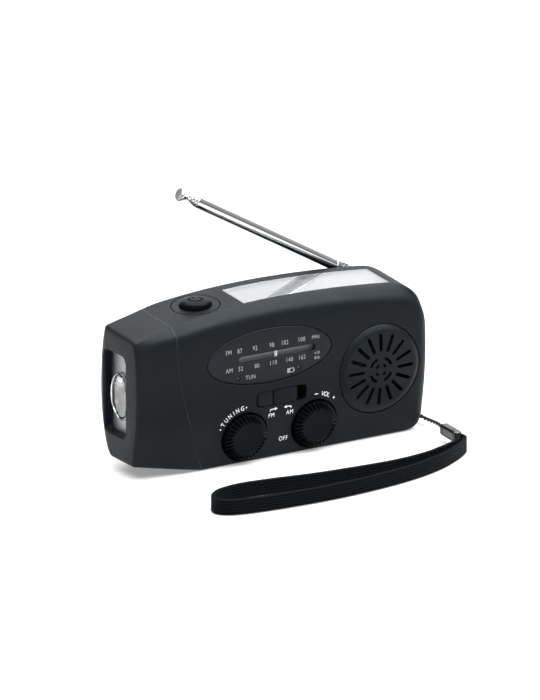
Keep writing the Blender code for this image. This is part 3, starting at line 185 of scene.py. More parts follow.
def make_paints():
    case = Paint("rubber_paint", (0.0026, 0.0038, 0.0050), 0.46)
    case.set("Specular IOR Level", 0.15)
    case.set("Specular Tint", (0.82, 0.93, 1.0, 1.0))
    case.mottle(90.0, 0.06).smudge(70.0, 0.035).bump(5200.0, 0.010).bump(900.0, 0.006)
    # Painted highlight: a lighter paint for the thin line along the torch seam, standing in for the light
    # its edge catches.
    edge = Paint("seam_highlight", (0.014, 0.017, 0.020), 0.44)
    edge.set("Specular IOR Level", 0.28)
    edge.mottle(300.0, 0.15).smudge(200.0, 0.05)
    knob = Paint("knob_plastic", (0.0012, 0.0018, 0.0024), 0.36)
    knob.set("Specular IOR Level", 0.07)
    knob.set("Specular Tint", (0.82, 0.93, 1.0, 1.0))
    knob.mottle(140.0, 0.08).smudge(160.0, 0.05).bump(6000.0, 0.008)
    dial = Paint("dial_plastic", (0.0058, 0.0074, 0.0092), 0.34)
    dial.set("Specular IOR Level", 0.165)
    dial.set("Specular Tint", (0.84, 0.94, 1.0, 1.0))
    dial.mottle(60.0, 0.05).smudge(80.0, 0.04).bump(3000.0, 0.002)
    black = Paint("black_plastic", (0.0030, 0.0040, 0.0052), 0.42)
    black.set("Specular IOR Level", 0.20)
    black.mottle(120.0, 0.10).smudge(120.0, 0.06).bump(4000.0, 0.010)
    print_white = Paint("print_white", (0.86, 0.87, 0.87), 0.55)
    print_white.mottle(1500.0, 0.04).bump(6000.0, 0.004)
    white = Paint("natural_plastic", (0.62, 0.62, 0.59), 0.42)
    white.set("Subsurface Weight", 0.08)
    white.set("Subsurface Scale", 0.001)
    white.mottle(150.0, 0.04).smudge(150.0, 0.06).bump(2500.0, 0.006)
    slate = Paint("scale_strip", (0.17, 0.185, 0.20), 0.45)
    slate.mottle(200.0, 0.05).smudge(200.0, 0.05).bump(3000.0, 0.003)
    needle = Paint("needle", (0.80, 0.79, 0.77), 0.40)
    needle.mottle(400.0, 0.04).smudge(300.0, 0.05).bump(3000.0, 0.003)
    chrome = Paint("chrome", (0.76, 0.77, 0.78), 0.075, 1.0)
    # Painted light on the chrome: dark on the side facing away from this direction (painted shade on the
    # underside), light on the upper side (painted highlight), and a darker thin line along the top edge.
    chrome.paint_light_by_facing((0.50, 0.03, 0.866), ((0.0, 0.12), (0.20, 0.13), (0.30, 0.35), (0.38, 0.62),
                                             (0.66, 0.62), (0.80, 0.95), (0.95, 0.93), (0.99, 0.40)))
    chrome.smudge(300.0, 0.02).bump(700.0, 0.0006)
    mirror = Paint("vacuum_plated", (0.62, 0.64, 0.66), 0.08, 1.0)
    # Painted reflection: the plating's colour is mottled between near black and near white, standing in for
    # the dark and bright facets that a crumpled bowl reflects.
    mirror.mottle(300.0, 0.92, second=(0.94, 0.95, 0.96)).smudge(260.0, 0.03).bump(260.0, 0.3, detail=0.0)
    plate = Paint("silver_plate", (0.34, 0.36, 0.37), 0.48, 1.0)
    plate.mottle(120.0, 0.03).smudge(300.0, 0.05).bump(500.0, 0.003)
    steel = Paint("steel", (0.52, 0.53, 0.55), 0.30, 1.0)
    steel.mottle(300.0, 0.06).smudge(500.0, 0.07).bump(2500.0, 0.004, stretch=(1, 6, 1))
    brass = Paint("brass", (0.66, 0.47, 0.20), 0.32, 1.0)
    brass.mottle(300.0, 0.08).smudge(500.0, 0.07).bump(2500.0, 0.003, stretch=(1, 6, 1))
    clear = Paint("clear_plastic", (0.98, 0.99, 1.0), 0.03)
    clear.set("Transmission Weight", 1.0)
    clear.set("IOR", 1.49)
    clear.smudge(200.0, 0.01).bump(500.0, 0.002)
    epoxy = Paint("led_epoxy", (0.93, 0.94, 0.90), 0.08)
    epoxy.set("Transmission Weight", 0.75)
    epoxy.set("IOR", 1.54)
    epoxy.smudge(400.0, 0.03).bump(800.0, 0.003)
    red = Paint("red_lens", (0.016, 0.014, 0.015), 0.34)
    red.mottle(900.0, 0.10).bump(900.0, 0.003)
    green = Paint("green_lens", (0.015, 0.022, 0.019), 0.30)
    green.mottle(900.0, 0.10).bump(900.0, 0.003)
    board = Paint("circuit_board", (0.018, 0.105, 0.045), 0.35)
    traces = board.node("ShaderNodeTexBrick", Scale=420.0, offset=0.37)
    board.links.new(board.place((1, 1, 1)), traces.inputs["Vector"])
    board.mottle(0, 0.15, second=(0.05, 0.20, 0.09), source=traces.outputs["Fac"])
    board.bump(0, 0.03, source=traces.outputs["Fac"])
    phenolic = Paint("phenolic", (0.25, 0.13, 0.05), 0.5)
    phenolic.mottle(700.0, 0.25, stretch=(1, 1, 5)).smudge(300.0, 0.08).bump(2000.0, 0.02)
    wrap = Paint("battery_wrap", (0.03, 0.16, 0.07), 0.30)
    wrap.mottle(80.0, 0.08).smudge(200.0, 0.08).bump(500.0, 0.05, stretch=(0.3, 1, 1))
    ferrite = Paint("ferrite", (0.045, 0.040, 0.038), 0.65)
    ferrite.mottle(1200.0, 0.30).smudge(300.0, 0.08).bump(3500.0, 0.03)
    wire = Paint("copper_wire", (0.55, 0.22, 0.09), 0.28, 1.0)
    turns = wire.node("ShaderNodeTexWave", bands_direction="X", Scale=1000.0, Distortion=0.0)
    wire.links.new(wire.place(), turns.inputs["Vector"])
    # Painted shade: the wire is darker in the grooves between turns and lighter on the crests that the bump
    # raises.
    wire.mottle(0, 0.3, source=turns.outputs["Fac"]).bump(0, 0.08, source=turns.outputs["Fac"])
    paper = Paint("cone_paper", (0.022, 0.022, 0.023), 0.85)
    paper.mottle(900.0, 0.3).smudge(500.0, 0.06).bump(1800.0, 0.05)
    soft = Paint("soft_rubber", (0.0055, 0.0062, 0.0075), 0.60)
    soft.mottle(200.0, 0.10).smudge(200.0, 0.05).bump(3500.0, 0.02)
    ink = Paint("dial_ink", (0.25, 0.26, 0.26), 0.55)
    ink.mottle(1500.0, 0.05).bump(6000.0, 0.004)
    film = Paint("solar_film", (0.90, 0.92, 0.94), 0.07)
    film.set("Transmission Weight", 0.93)
    film.set("IOR", 1.6)
    film.smudge(60.0, 0.02).bump(300.0, 0.002)
    clip = Paint("polished_clip", (0.0060, 0.0065, 0.0075), 0.20)
    clip.mottle(200.0, 0.08).smudge(200.0, 0.05).bump(2500.0, 0.004)
    return {
        "case": case, "edge": edge, "knob": knob, "dial": dial, "black": black, "print": print_white,
        "white": white, "slate": slate, "needle": needle, "chrome": chrome, "mirror": mirror,
        "plate": plate, "steel": steel, "brass": brass, "clear": clear, "epoxy": epoxy, "red": red,
        "green": green, "board": board, "phenolic": phenolic, "wrap": wrap, "ferrite": ferrite,
        "wire": wire, "paper": paper, "soft": soft, "cell": make_cell(), "webbing": make_weave(),
        "twine": make_twine(), "ink": ink, "film": film, "clip": clip,
    }


def make_cell():
    """Silicon strips with bus lines, under a bright glossy surface."""
    cell = Paint("solar_cell", (0.10, 0.11, 0.12), 0.16)
    bands = cell.node("ShaderNodeTexWave", bands_direction="X", Scale=95.0, Distortion=0.0)
    cell.links.new(cell.place(), bands.inputs["Vector"])
    lines = cell.ramp(bands.outputs["Fac"], 0.0, 1.0, 0.02, 0.06)
    cell.mottle(0, 0.25, second=(0.13, 0.14, 0.15), source=lines)
    cell.set("Specular IOR Level", 0.5)
    cell.smudge(50.0, 0.03).bump(2000.0, 0.002)
    return cell


def make_weave():
    """Flat woven strap: ribs along it and a chevron of yarns across each rib; its colour is painted shade in
    the grooves between ribs and yarns and lighter on their crests.
    """
    weave = Paint("woven_nylon", (0.0003, 0.0005, 0.0008), 0.62)
    weave.set("Specular IOR Level", 0.06)
    weave.set("Specular Tint", (0.80, 0.93, 1.0, 1.0))
    along = weave.node("ShaderNodeAttribute", attribute_name="along")
    across = weave.node("ShaderNodeAttribute", attribute_name="across")

    def calc(kind, a, b):
        made = weave.node("ShaderNodeMath", operation=kind)
        for socket, value in zip(made.inputs, (a, b)):
            if isinstance(value, (int, float)):
                socket.default_value = value
            else:
                weave.links.new(value, socket)
        return made.outputs[0]

    rib = calc("PINGPONG", across.outputs["Fac"], 0.55)
    slant = calc("ADD", along.outputs["Fac"], calc("MULTIPLY", rib, 0.9))
    yarn = calc("PINGPONG", slant, 0.42)
    yarn = calc("DIVIDE", yarn, 0.42)
    ridge = calc("DIVIDE", rib, 0.55)
    # Painted shade: darker between ribs and yarns, lighter on the crests that the bumps below raise.
    weave.mottle(0, 0.9, second=(0.0062, 0.0086, 0.0115), source=calc("MULTIPLY", ridge, yarn))
    weave.bump(0, 0.22, source=ridge)
    weave.bump(0, 0.16, source=yarn)
    weave.bump(9000.0, 0.05)
    weave.smudge(900.0, 0.06)
    return weave


def make_twine():
    twine = Paint("twisted_twine", (0.0035, 0.0040, 0.0055), 0.70)
    twine.mottle(2500.0, 0.4).smudge(900.0, 0.05).bump(5000.0, 0.06)
    return twine


paints = make_paints()


# ----------------------------------------------------------------- shapes
def new_object(name, bm, paint, body=None, smooth=35.0, node=None):
    """A bmesh in millimetres becomes an object in metres, which may ride on a body and replace a node."""
    bmesh.ops.recalc_face_normals(bm, faces=bm.faces)
    bmesh.ops.scale(bm, vec=(MM, MM, MM), verts=bm.verts)
    mesh = bpy.data.meshes.new(name)
    bm.to_mesh(mesh)
    bm.free()
    mesh.shade_smooth()
    if smooth is not None:
        mesh.set_sharp_from_angle(angle=rad(smooth))
    made = bpy.data.objects.new(name, mesh)
    scene.collection.objects.link(made)
    if paint is not None:
        mesh.materials.append(paints[paint].made)
    if body is not None:
        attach(made, body)
    if node is not None:
        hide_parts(node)
    return made


def loft(rings, closed=False, caps=True):
    bm = bmesh.new()
    rows = [[bm.verts.new(p) for p in ring] for ring in rings]
    pairs = list(zip(rows, rows[1:])) + ([(rows[-1], rows[0])] if closed else [])
    for low, high in pairs:
        if len(low) == 1 and len(high) == 1:
            continue
        for i in range(max(len(low), len(high))):
            j = (i + 1) % max(len(low), len(high))
            corners = [low[i % len(low)], low[j % len(low)], high[j % len(high)], high[i % len(high)]]
            bm.faces.new(list(dict.fromkeys(corners)))
    if caps and not closed:
        for row in (rows[0], rows[-1]):
            if len(row) > 2:
                bm.faces.new(row)
    return bm


def prism(axis, outline, low, high):
    order = {"x": lambda a, b, c: (c, a, b), "y": lambda a, b, c: (a, c, b),
             "z": lambda a, b, c: (a, b, c)}[axis]
    return loft([[order(a, b, c) for a, b in outline] for c in (low, high)])


def circle(cx, cy, radius, count=64, radius_b=None, phase=0.0):
    radius_b = radius if radius_b is None else radius_b
    turn = 2 * math.pi / count
    return [(cx + radius * math.cos(phase + i * turn), cy + radius_b * math.sin(phase + i * turn))
            for i in range(count)]


def rounded(x0, x1, y0, y1, radius, steps=6):
    points = []
    for cx, cy, start in ((x1 - radius, y1 - radius, 0), (x0 + radius, y1 - radius, 90),
                          (x0 + radius, y0 + radius, 180), (x1 - radius, y0 + radius, 270)):
        for i in range(steps + 1):
            angle = rad(start + 90 * i / steps)
            points.append((cx + radius * math.cos(angle), cy + radius * math.sin(angle)))
    return points


def box(x, y, z):
    return prism("z", [(x[0], y[0]), (x[1], y[0]), (x[1], y[1]), (x[0], y[1])], z[0], z[1])


def level_ring(radius, height, count):
    if radius == 0:
        return [(0, 0, height)]
    return [(x, y, height) for x, y in circle(0, 0, radius, count)]


def lathe(profile, count=64):
    """Solid of revolution about Z from (radius, height) pairs."""
    rings = [level_ring(r, h, count) for r, h in profile]
    closed = profile[0][0] > 0 and profile[-1][0] > 0
    return loft(rings, closed=closed, caps=False)


def soften(profile, radius):
    """Round the corners of an open profile."""
    steps = 3
    made = [profile[0]]
    for before, corner, after in zip(profile, profile[1:], profile[2:]):
        a, b, c = Vector(before), Vector(corner), Vector(after)
        reach = min(radius, (a - b).length * 0.45, (c - b).length * 0.45)
        start = b + (a - b).normalized() * reach
        end = b + (c - b).normalized() * reach
        for i in range(steps + 1):
            t = i / steps
            point = start * (1 - t) ** 2 + b * 2 * t * (1 - t) + end * t * t
            made.append((max(point.x, 0.0), point.y))
    return made + [profile[-1]]


def moved(bm, matrix):
    bmesh.ops.transform(bm, matrix=matrix, verts=bm.verts)
    return bm


def along_y(x, y, z):
    return Matrix.Translation((x, y, z)) @ Matrix.Rotation(-math.pi / 2, 4, "X")


def along_x(x, y, z):
    return Matrix.Translation((x, y, z)) @ Matrix.Rotation(math.pi / 2, 4, "Y")


def joined(*parts):
    whole = bmesh.new()
    for part in parts:
        scratch = bpy.data.meshes.new("scratch")
        part.to_mesh(scratch)
        part.free()
        whole.from_mesh(scratch)
        bpy.data.meshes.remove(scratch)
    return whole


tools = []


def tool(bm):
    made = new_object("tool", bm, None)
    tools.append(made)
    return made


def combine(target, operation, *others):
    """Queue a Boolean; bake() turns the queue into plain mesh."""
    for other in others:
        made = other if isinstance(other, bpy.types.Object) else tool(other)
        modifier = target.modifiers.new("combine", "BOOLEAN")
        modifier.solver = "EXACT"
        modifier.operation = operation
        modifier.object = made
    return target


def bake(target):
    bpy.context.view_layer.update()
    shown = target.evaluated_get(bpy.context.evaluated_depsgraph_get())
    mesh = bpy.data.meshes.new_from_object(shown)
    target.modifiers.clear()
    target.data = mesh
    mesh.shade_smooth()
    mesh.set_sharp_from_angle(angle=rad(30.0))


def settle(piece, body, node=None):
    """Bake a cut piece, then say what it rides on and the node it replaces."""
    bake(piece)
    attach(piece, body)
    if node is not None:
        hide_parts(node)


# ------------------------------------------------------------ case outline
GAP = 0.3
HALF_LENGTH, WALL = 63.5, 2.0
FRONT_Y, FRONT_RADIUS, WAIST_Z = -19.0, 115.0, 34.0
CHIN_Z, CHIN_SLOPE = 10.0, 0.12
REAR_Y, REAR_Z = 23.0, 31.0
TOP_Z, TOP_BACK_Y, TOP_RISE = 61.2, 8.4, 0.055
PARTING_Y = 8.0
SEAM_X, SEAM_SWEEP, SEAM_BEND_Z = -46.5, 12.0, 45.0
SEAM_GAP, PARTING_GAP = 0.06, 0.07
END_ROUND = 1.3


def quarter(distance, radius):
    reach = min(max(distance, 0.0), radius)
    return radius - math.sqrt(radius * radius - reach * reach)


def ease(value, start, end):
    t = min(max((value - start) / (end - start), 0.0), 1.0)
    return t * t * (3 - 2 * t)


def front_y(z, x=0.0):
    taper = 2.4 * ease(-x, 38.0, 66.0)
    corner = quarter((x - 58.3) * 5.0 / 5.2, 5.0)
    above = max(z, CHIN_Z)
    chin = CHIN_SLOPE * (above - z)
    return FRONT_Y + taper + corner + chin + (above - WAIST_Z) ** 2 / (2 * FRONT_RADIUS)


def stepped(a, b, count):
    return [(a[0] + (b[0] - a[0]) * i / count, a[1] + (b[1] - a[1]) * i / count)
            for i in range(count)]


def section(x, inset=0.0, fine=True):
    """Outline of the case at one station, as (y, z) points."""
    n = 3 if fine else 1
    bottom = 5.6 * max(0.0, (-34.5 - x) / 29.0) + quarter(x - 54.5, 9.0) + inset
    crown = TOP_Z - (0.0016 if x < 0 else 0.00115) * x * x
    top = crown - 11.5 * quarter((x - 51.0) / 12.5, 1.0) - inset
    drop = 3.9 + 0.016 * x
    depth = 4.5 - 2.7 * max(0.0, (SEAM_X - x) / 17.0)
    round_end = quarter(x - 53.5, 10.0)
    rear = REAR_Y - 8.4 * ease(-x, 34.0, 57.0) - quarter(-56.5 - x, 7.0) - round_end - inset
    back = TOP_BACK_Y - 1.6 * ease(-x, 36.0, 64.0) - round_end * 0.4 - inset * 0.5
    fullness = 0.85 + 0.2 * ease(-x, 40.0, 62.0)
    heel = 12.0 - 9.0 * ease(-x, 30.0, 63.5) - round_end - inset
    crease = top - drop

    def front(z):
        return front_y(z, x) + inset

    points = []
    low, high = bottom + 1.6, crease - 0.8
    points += stepped((front(bottom) + 1.1, bottom), (front(bottom) + 0.25, bottom + 0.45), n)
    points += stepped((front(bottom) + 0.25, bottom + 0.45), (front(low), low), n)
    rows = 12 * n
    points += [(front(low + (high - low) * i / rows), low + (high - low) * i / rows)
               for i in range(rows + 1)]
    edge = (front(crease) + 0.45, crease + 0.3)
    brow = (front(crease) + depth - 0.7, top - 0.35)
    start = (front(crease) + depth + 0.6, top)
    back_z = top + TOP_RISE * (back - front(crease) - depth)
    points += stepped(edge, brow, 2 * n) + stepped(brow, start, n)
    points += stepped(start, (back, back_z), 8 * n)
    centre_z = min(max(REAR_Z, bottom + 8), top - 12)
    arcs = 9 * n
    for i in range(arcs):
        angle = math.pi / 2 * (1 - i / arcs)
        points.append((back + (rear - back) * math.cos(angle),
                       centre_z + (back_z - centre_z) * math.sin(angle)))
    for i in range(arcs):
        angle = math.pi / 2 * i / arcs
        points.append((heel + (rear - heel) * math.cos(angle) ** fullness,
                       centre_z - (centre_z - bottom) * math.sin(angle) ** fullness))
    points += stepped((heel - 0.4, bottom), (front(bottom) + 1.1, bottom), 8 * n)
    if fine:
        for _ in range(3):
            ring = points[-1:] + points + points[:1]
            points = [((a[0] + 2 * b[0] + c[0]) / 4, (a[1] + 2 * b[1] + c[1]) / 4)
                      for a, b, c in zip(ring, ring[1:], ring[2:])]
    return points


def case_solid(inset=0.0, fine=False):
    if fine:
        xs = [-HALF_LENGTH + END_ROUND * (1 - math.cos(rad(15 * i))) for i in range(7)]
        xs += [-HALF_LENGTH + END_ROUND + 1.5 * i for i in range(1, 76)]
        xs += [52.0 + 11.5 * math.sin(rad(90 * i / 26)) for i in range(27)]
        xs = sorted({round(x, 3) for x in xs if x <= HALF_LENGTH})
    else:
        xs = [-63.5, -62.9, -61.6, -59.5, -56.5, -53, -48, -42, -35, -26, -16, -6, 4, 14, 24, 34,
              43, 50, 54, 57, 59.2, 61, 62.4, 63.1, 63.5]
    shrink = (HALF_LENGTH - inset) / HALF_LENGTH
    rings = []
    for x in xs:
        edge = quarter(-HALF_LENGTH + END_ROUND - x, END_ROUND) if fine else 0.0
        rings.append([(x * shrink, y, z) for y, z in section(x, inset + edge, fine)])
    return loft(rings)


def seam_curve(offset):
    heights = [-5.0] + [SEAM_BEND_Z * i / 24 for i in range(25)] + [75.0]
    return [(SEAM_X + SEAM_SWEEP * (max(0.0, SEAM_BEND_Z - z) / SEAM_BEND_Z) ** 1.5 + offset, z)
            for z in heights]


def body_region(y0, y1):
    return prism("y", seam_curve(SEAM_GAP) + [(90, 75), (90, -5)], y0, y1)


def head_region():
    return prism("y", seam_curve(-SEAM_GAP) + [(-90, 75), (-90, -5)], -40, 40)


skins = {}


def skin(depth):
    if depth not in skins:
        skins[depth] = tool(case_solid(depth))
    return skins[depth]


def inside(bm, depth):
    """A tool clipped to the case less a depth."""
    return combine(tool(bm), "INTERSECT", skin(depth))


def outside(bm, depth):
    """A tool that only reaches a depth under the surface."""
    return combine(tool(bm), "DIFFERENCE", skin(depth))


# ---------------------------------------------------------- free cords
CORD_ROUTE = ((60.3, -0.9, 7.6), (62.4, -1.6, 6.4), (64.4, -4.2, 4.2), (65.3, -8.4, 2.7),
              (65.4, -13.5, 2.6), (64.8, -19.0, 3.2), (63.6, -24.6, 4.0), (62.0, -29.4, 4.6),
              (61.35, -31.1, 4.8))
WEBBING_WIDTH, WEBBING_THICK = 6.5, 1.4
WEBBING_ROUTE = ((59.3, -44.0), (59.1, -46.0), (57.0, -48.4), (52.4, -51.0), (45.8, -53.6),
                 (37.0, -56.2), (24.0, -57.7), (8.0, -57.0), (-10.0, -55.2), (-27.0, -52.2),
                 (-40.0, -50.8), (-49.6, -52.4), (-55.2, -56.6), (-56.6, -61.6), (-52.6, -65.4),
                 (-44.0, -67.7), (-30.0, -69.2), (-10.0, -69.9), (10.0, -68.4), (28.0, -65.2),
                 (42.0, -60.4), (52.0, -54.9), (58.4, -50.2), (61.2, -47.0), (61.25, -44.0))
FERRULE_START, FERRULE_END = Vector((61.2, -31.5)), Vector((60.3, -43.6))
FERRULE_Z = (2.6, 7.0)


def smooth_route(points, steps):
    """Catmull-Rom curve through the route's points."""
    padded = [points[0], *points, points[-1]]
    path = []
    for a, b, c, d in zip(padded, padded[1:], padded[2:], padded[3:]):
        for k in range(steps):
            t = k / steps
            path.append([0.5 * (2 * q + (r - p) * t + (2 * p - 5 * q + 4 * r - s) * t * t
                                + (3 * q - p - 3 * r + s) * t ** 3)
                         for p, q, r, s in zip(a, b, c, d)])
    return path + [list(points[-1])]


def length_of(path):
    return sum((Vector(a) - Vector(b)).length for a, b in zip(path, path[1:]))


def even(path, spacing):
    """The same line with points at an even spacing."""
    points = [Vector(p) for p in path]
    total = length_of(points)
    count = max(2, round(total / spacing))
    made, gone, i = [], 0.0, 0
    for k in range(count + 1):
        want = total * k / count
        while i < len(points) - 2 and gone + (points[i + 1] - points[i]).length < want:
            gone += (points[i + 1] - points[i]).length
            i += 1
        step = (points[i + 1] - points[i]).length
        made.append(points[i].lerp(points[i + 1], min((want - gone) / step, 1.0)))
    return made


def make_cord():
    """Two strands twisted round each other, from the pin in the case to the moulded tab."""
    step, lay = 0.25, 5.2
    path = even(smooth_route(CORD_ROUTE, 12), step)
    strands = []
    for strand in range(2):
        rings = []
        for i, point in enumerate(path):
            along = (path[min(i + 1, len(path) - 1)] - path[max(i - 1, 0)]).normalized()
            side = along.cross(Vector((0, 0, 1))).normalized()
            over = side.cross(along)
            spin = 2 * math.pi * i * step / lay + math.pi * strand
            centre = point + (side * math.cos(spin) + over * math.sin(spin)) * 0.38
            ring = []
            for k in range(12):
                a = 2 * math.pi * k / 12
                yarn = 0.40 + 0.035 * math.cos(3 * a + i * 0.9)
                ring.append(centre + side * yarn * math.cos(a) + over * yarn * math.sin(a))
            rings.append(ring)
        strands.append(loft(rings))
    cord = new_object("cord_twine", joined(*strands), "twine", "case", node="strap_cord")
    return cord, path


def make_webbing():
    """Woven strap standing on its edge, with both ends in the tab."""
    path = even(smooth_route(WEBBING_ROUTE, 12), 0.34)
    ribs, across_steps = 6, 36
    half = WEBBING_THICK / 2
    bm = bmesh.new()
    rows = []
    run = 0.0
    marks = []
    for i, point in enumerate(path):
        ahead, behind = path[min(i + 1, len(path) - 1)], path[max(i - 1, 0)]
        along = (ahead - behind).normalized()
        side = Vector((-along.y, along.x))
        if i:
            run += (point - path[i - 1]).length
        lift = 0.06 + 0.10 * (0.5 + 0.5 * math.sin(run * 0.045))
        ring = []
        for k in range(across_steps + 1):
            v = k / across_steps
            edge = min(v, 1 - v) * WEBBING_WIDTH
            crown = min(1.0, math.sqrt(max(edge, 0.0) / 0.55))
            rib = 0.78 + 0.22 * abs(math.sin(math.pi * ribs * v))
            loop = 0.10 * math.sin(2 * math.pi * run / 1.15) * (1 - min(1.0, edge / 0.9))
            ring.append((v, half * crown * rib, loop))
        front = [(side * w, lift + v * (WEBBING_WIDTH - 0.12) + e, v) for v, w, e in ring]
        back = [(side * -w, lift + v * (WEBBING_WIDTH - 0.12) + e, v) for v, w, e in ring[-2:0:-1]]
        row = []
        for offset, height, v in front + back:
            row.append(bm.verts.new((point.x + offset.x, point.y + offset.y, height)))
            marks.append((run, v * WEBBING_WIDTH))
        rows.append(row)
    for low, high in zip(rows, rows[1:]):
        for k in range(len(low)):
            j = (k + 1) % len(low)
            bm.faces.new((low[k], low[j], high[j], high[k]))
    bm.faces.new(rows[0])
    bm.faces.new(rows[-1])
    webbing = new_object("strap_weave", bm, "webbing", "case", smooth=70.0)
    for name, index in (("along", 0), ("across", 1)):
        layer = webbing.data.attributes.new(name, "FLOAT", "POINT")
        layer.data.foreach_set("value", np.array([m[index] for m in marks], np.float32))
    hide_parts("strap_webbing")
    return webbing, [(p.x, p.y, 3.3) for p in path]


def make_ferrule():
    """Moulded tab that holds the cord's end and both ends of the webbing."""
    run = FERRULE_END - FERRULE_START
    turn = (Matrix.Translation((FERRULE_START.x, FERRULE_START.y, 0))
            @ Matrix.Rotation(math.atan2(run.y, run.x), 4, "Z"))
    ends = [(0.0, 0.55), (0.25, 0.25), (0.7, 0.08), (1.2, 0.0)]
    rings = []
    for x, shrink in ends + [(run.length - x, shrink) for x, shrink in reversed(ends)]:
        outline = rounded(-1.75 + shrink, 1.75 - shrink, FERRULE_Z[0] + shrink, FERRULE_Z[1] - shrink,
                          0.8, 4)
        rings.append([(x, y, z) for y, z in outline])
    tab = new_object("strap_tab", moved(loft(rings), turn), "clip")
    for side in (-1, 1):
        panel = rounded(2.2, run.length - 2.0, 3.6, 6.0, 0.5, 3)
        cutter = prism("y", panel, 1.6, 3.0)
        if side < 0:
            cutter = moved(cutter, Matrix.Scale(-1, 4, (0, 1, 0)))
        combine(tab, "DIFFERENCE", moved(cutter, turn))
    settle(tab, "case", "strap_ferrule")
    return tab


def make_strap():
    cord, cord_path = make_cord()
    webbing, webbing_path = make_webbing()
    tab = make_ferrule()


make_strap()

# ----------------------------------------------------------- case pieces
TILT = rad(8.0)
CONTROL_Y, CONTROL_Z = -16.7, 11.0
TUNING_X, VOLUME_X = -17.0, 13.5
RECESS_RADIUS, RECESS_DEPTH = 10.0, 2.9
DIAL_X, DIAL_Z, DIAL_A, DIAL_B = -7.2, 41.7, 27.3, 10.5
SLOT_LEFT, SLOT_RIGHT, SLOT_HALF = -20.6, 12.9, 1.25
LED_XS, LED_Z = (-20.8, 5.6), 34.9
SPEAKER_X, SPEAKER_Z, GRILLE_RADIUS = 41.0, 28.0, 17.4
GRILLE_RINGS = ((0.0, 1.2), (6.2, 1.2), (11.0, 1.15), (15.3, 1.0), (17.4, 0.0))
BAND_X, BAND_Z, BAND_LENGTH, BAND_HEIGHT, BAND_TRAVEL = -1.8, 24.8, 22.0, 6.2, 3.8
PANEL_X, PANEL_Y = (-13.7, 50.6), (-10.8, 5.3)
BUTTON_X, BUTTON_Y, BUTTON_RADIUS, BUTTON_RING = -29.0, -1.5, 5.9, 9.2
SCREWS = ((-38.5, 45.5), (-31.0, 9.0), (53.0, 47.0), (54.5, 9.0))
SCREW_HEAD_Y = 14.3
CRANK_X, CRANK_Z, CRANK_REACH, CRANK_HINGE_Y = 8.0, 31.0, 38.0, 22.1
ARM_FOLDED_Y, WELL_REACH = (17.0, 20.6), 47.6
NOTCH_X, NOTCH_Y, NOTCH_Z = (-40.0, 51.5), 10.7, 54.0
WINDOW_Z, WINDOW_HALF = (15.2, 46.8), 7.7
REFLECTOR_X, REFLECTOR_Z, REFLECTOR_A, REFLECTOR_B = -59.5, 29.5, 7.1, 9.2


def face_frame(x):
    """Frame of a control: +Z points into the case."""
    return (Matrix.Translation((x, CONTROL_Y, CONTROL_Z))
            @ Matrix.Rotation(TILT, 4, "X") @ Matrix.Rotation(-math.pi / 2, 4, "X"))


def ring_tool(x, y, radius, width, low, high):
    """A thin upright ring, for a groove."""
    outer, inner = circle(x, y, radius + width / 2, 96), circle(x, y, radius - width / 2, 96)
    rings = [[(a, b, c) for a, b in line] for line, c in
             ((outer, low), (outer, high), (inner, high), (inner, low))]
    return loft(rings, closed=True)


def case_part(name, region):
    """The hollow case cut down to one region."""
    part = new_object(name, case_solid(0.0, True), "case")
    combine(part, "DIFFERENCE", skin(WALL))
    return combine(part, "INTERSECT", region)


def make_front_case():
    shell = case_part("front_case", body_region(-40, PARTING_Y - PARTING_GAP))
    for x in (TUNING_X, VOLUME_X):
        place = face_frame(x)
        wall = moved(prism("z", circle(0, 0, RECESS_RADIUS + 1.3), -6, RECESS_DEPTH + 1.5), place)
        combine(shell, "UNION", inside(wall, 0.9))
        combine(shell, "DIFFERENCE",
                moved(prism("z", circle(0, 0, RECESS_RADIUS, 96), -9, RECESS_DEPTH), place),
                moved(prism("z", circle(0, 0, 3.3), 0, 9), place))
    combine(shell, "DIFFERENCE",
            outside(prism("y", circle(DIAL_X, DIAL_Z, DIAL_A, 128, DIAL_B), -30, -8), 1.6),
            prism("y", circle(DIAL_X, DIAL_Z, DIAL_A - 1, 64, DIAL_B - 1), -30, -8),
            outside(prism("y", circle(SPEAKER_X, SPEAKER_Z, GRILLE_RADIUS + GAP, 96), -30, -8), 1.6),
            prism("y", circle(SPEAKER_X, SPEAKER_Z, GRILLE_RADIUS - 2), -30, -8))
    band = rounded(BAND_X - BAND_LENGTH / 2, BAND_X + BAND_LENGTH / 2, BAND_Z - BAND_HEIGHT / 2,
                   BAND_Z + BAND_HEIGHT / 2, 1.9)
    combine(shell, "DIFFERENCE", prism("y", band, -30, -13))
    combine(shell, "DIFFERENCE", outside(box(PANEL_X, PANEL_Y, (45, 75)), 1.6),
            box((PANEL_X[0] + 1.6, PANEL_X[1] - 1.6), (PANEL_Y[0] + 1.6, PANEL_Y[1] - 1.6), (45, 75)),
            outside(ring_tool(BUTTON_X, BUTTON_Y, BUTTON_RING, 0.42, 45, 75), 0.9),
            prism("z", circle(BUTTON_X, BUTTON_Y, BUTTON_RADIUS + 0.4, 64), 45, 75))
    for x, z in SCREWS:
        boss = prism("y", circle(x, z, 3.2, 24), -30, PARTING_Y - 0.15)
        combine(shell, "UNION", inside(boss, 0.9))
        combine(shell, "DIFFERENCE", prism("y", circle(x, z, 1.5, 16), -1.5, 12))
    combine(shell, "UNION", inside(box((56.4, 70), (-4.6, 6.6), (-5, 13.5)), 0.9),
            inside(box((58.9, 70), (-11.0, 0.2), (21.6, 33.4)), 0.9))
    combine(shell, "DIFFERENCE", prism("x", rounded(-3, 5, 4.8, 12.0, 1.2), 57.9, 70),
            prism("z", circle(60.3, 1.0, 1.2, 16), 3.5, 13.0),
            prism("x", rounded(-9.5, -1.0, 23.0, 32.0, 0.5), 61.9, 70),
            box((55, 70), (-6.9, -3.5), (23.5, 31.5)))
    settle(shell, "case", "front_shell")


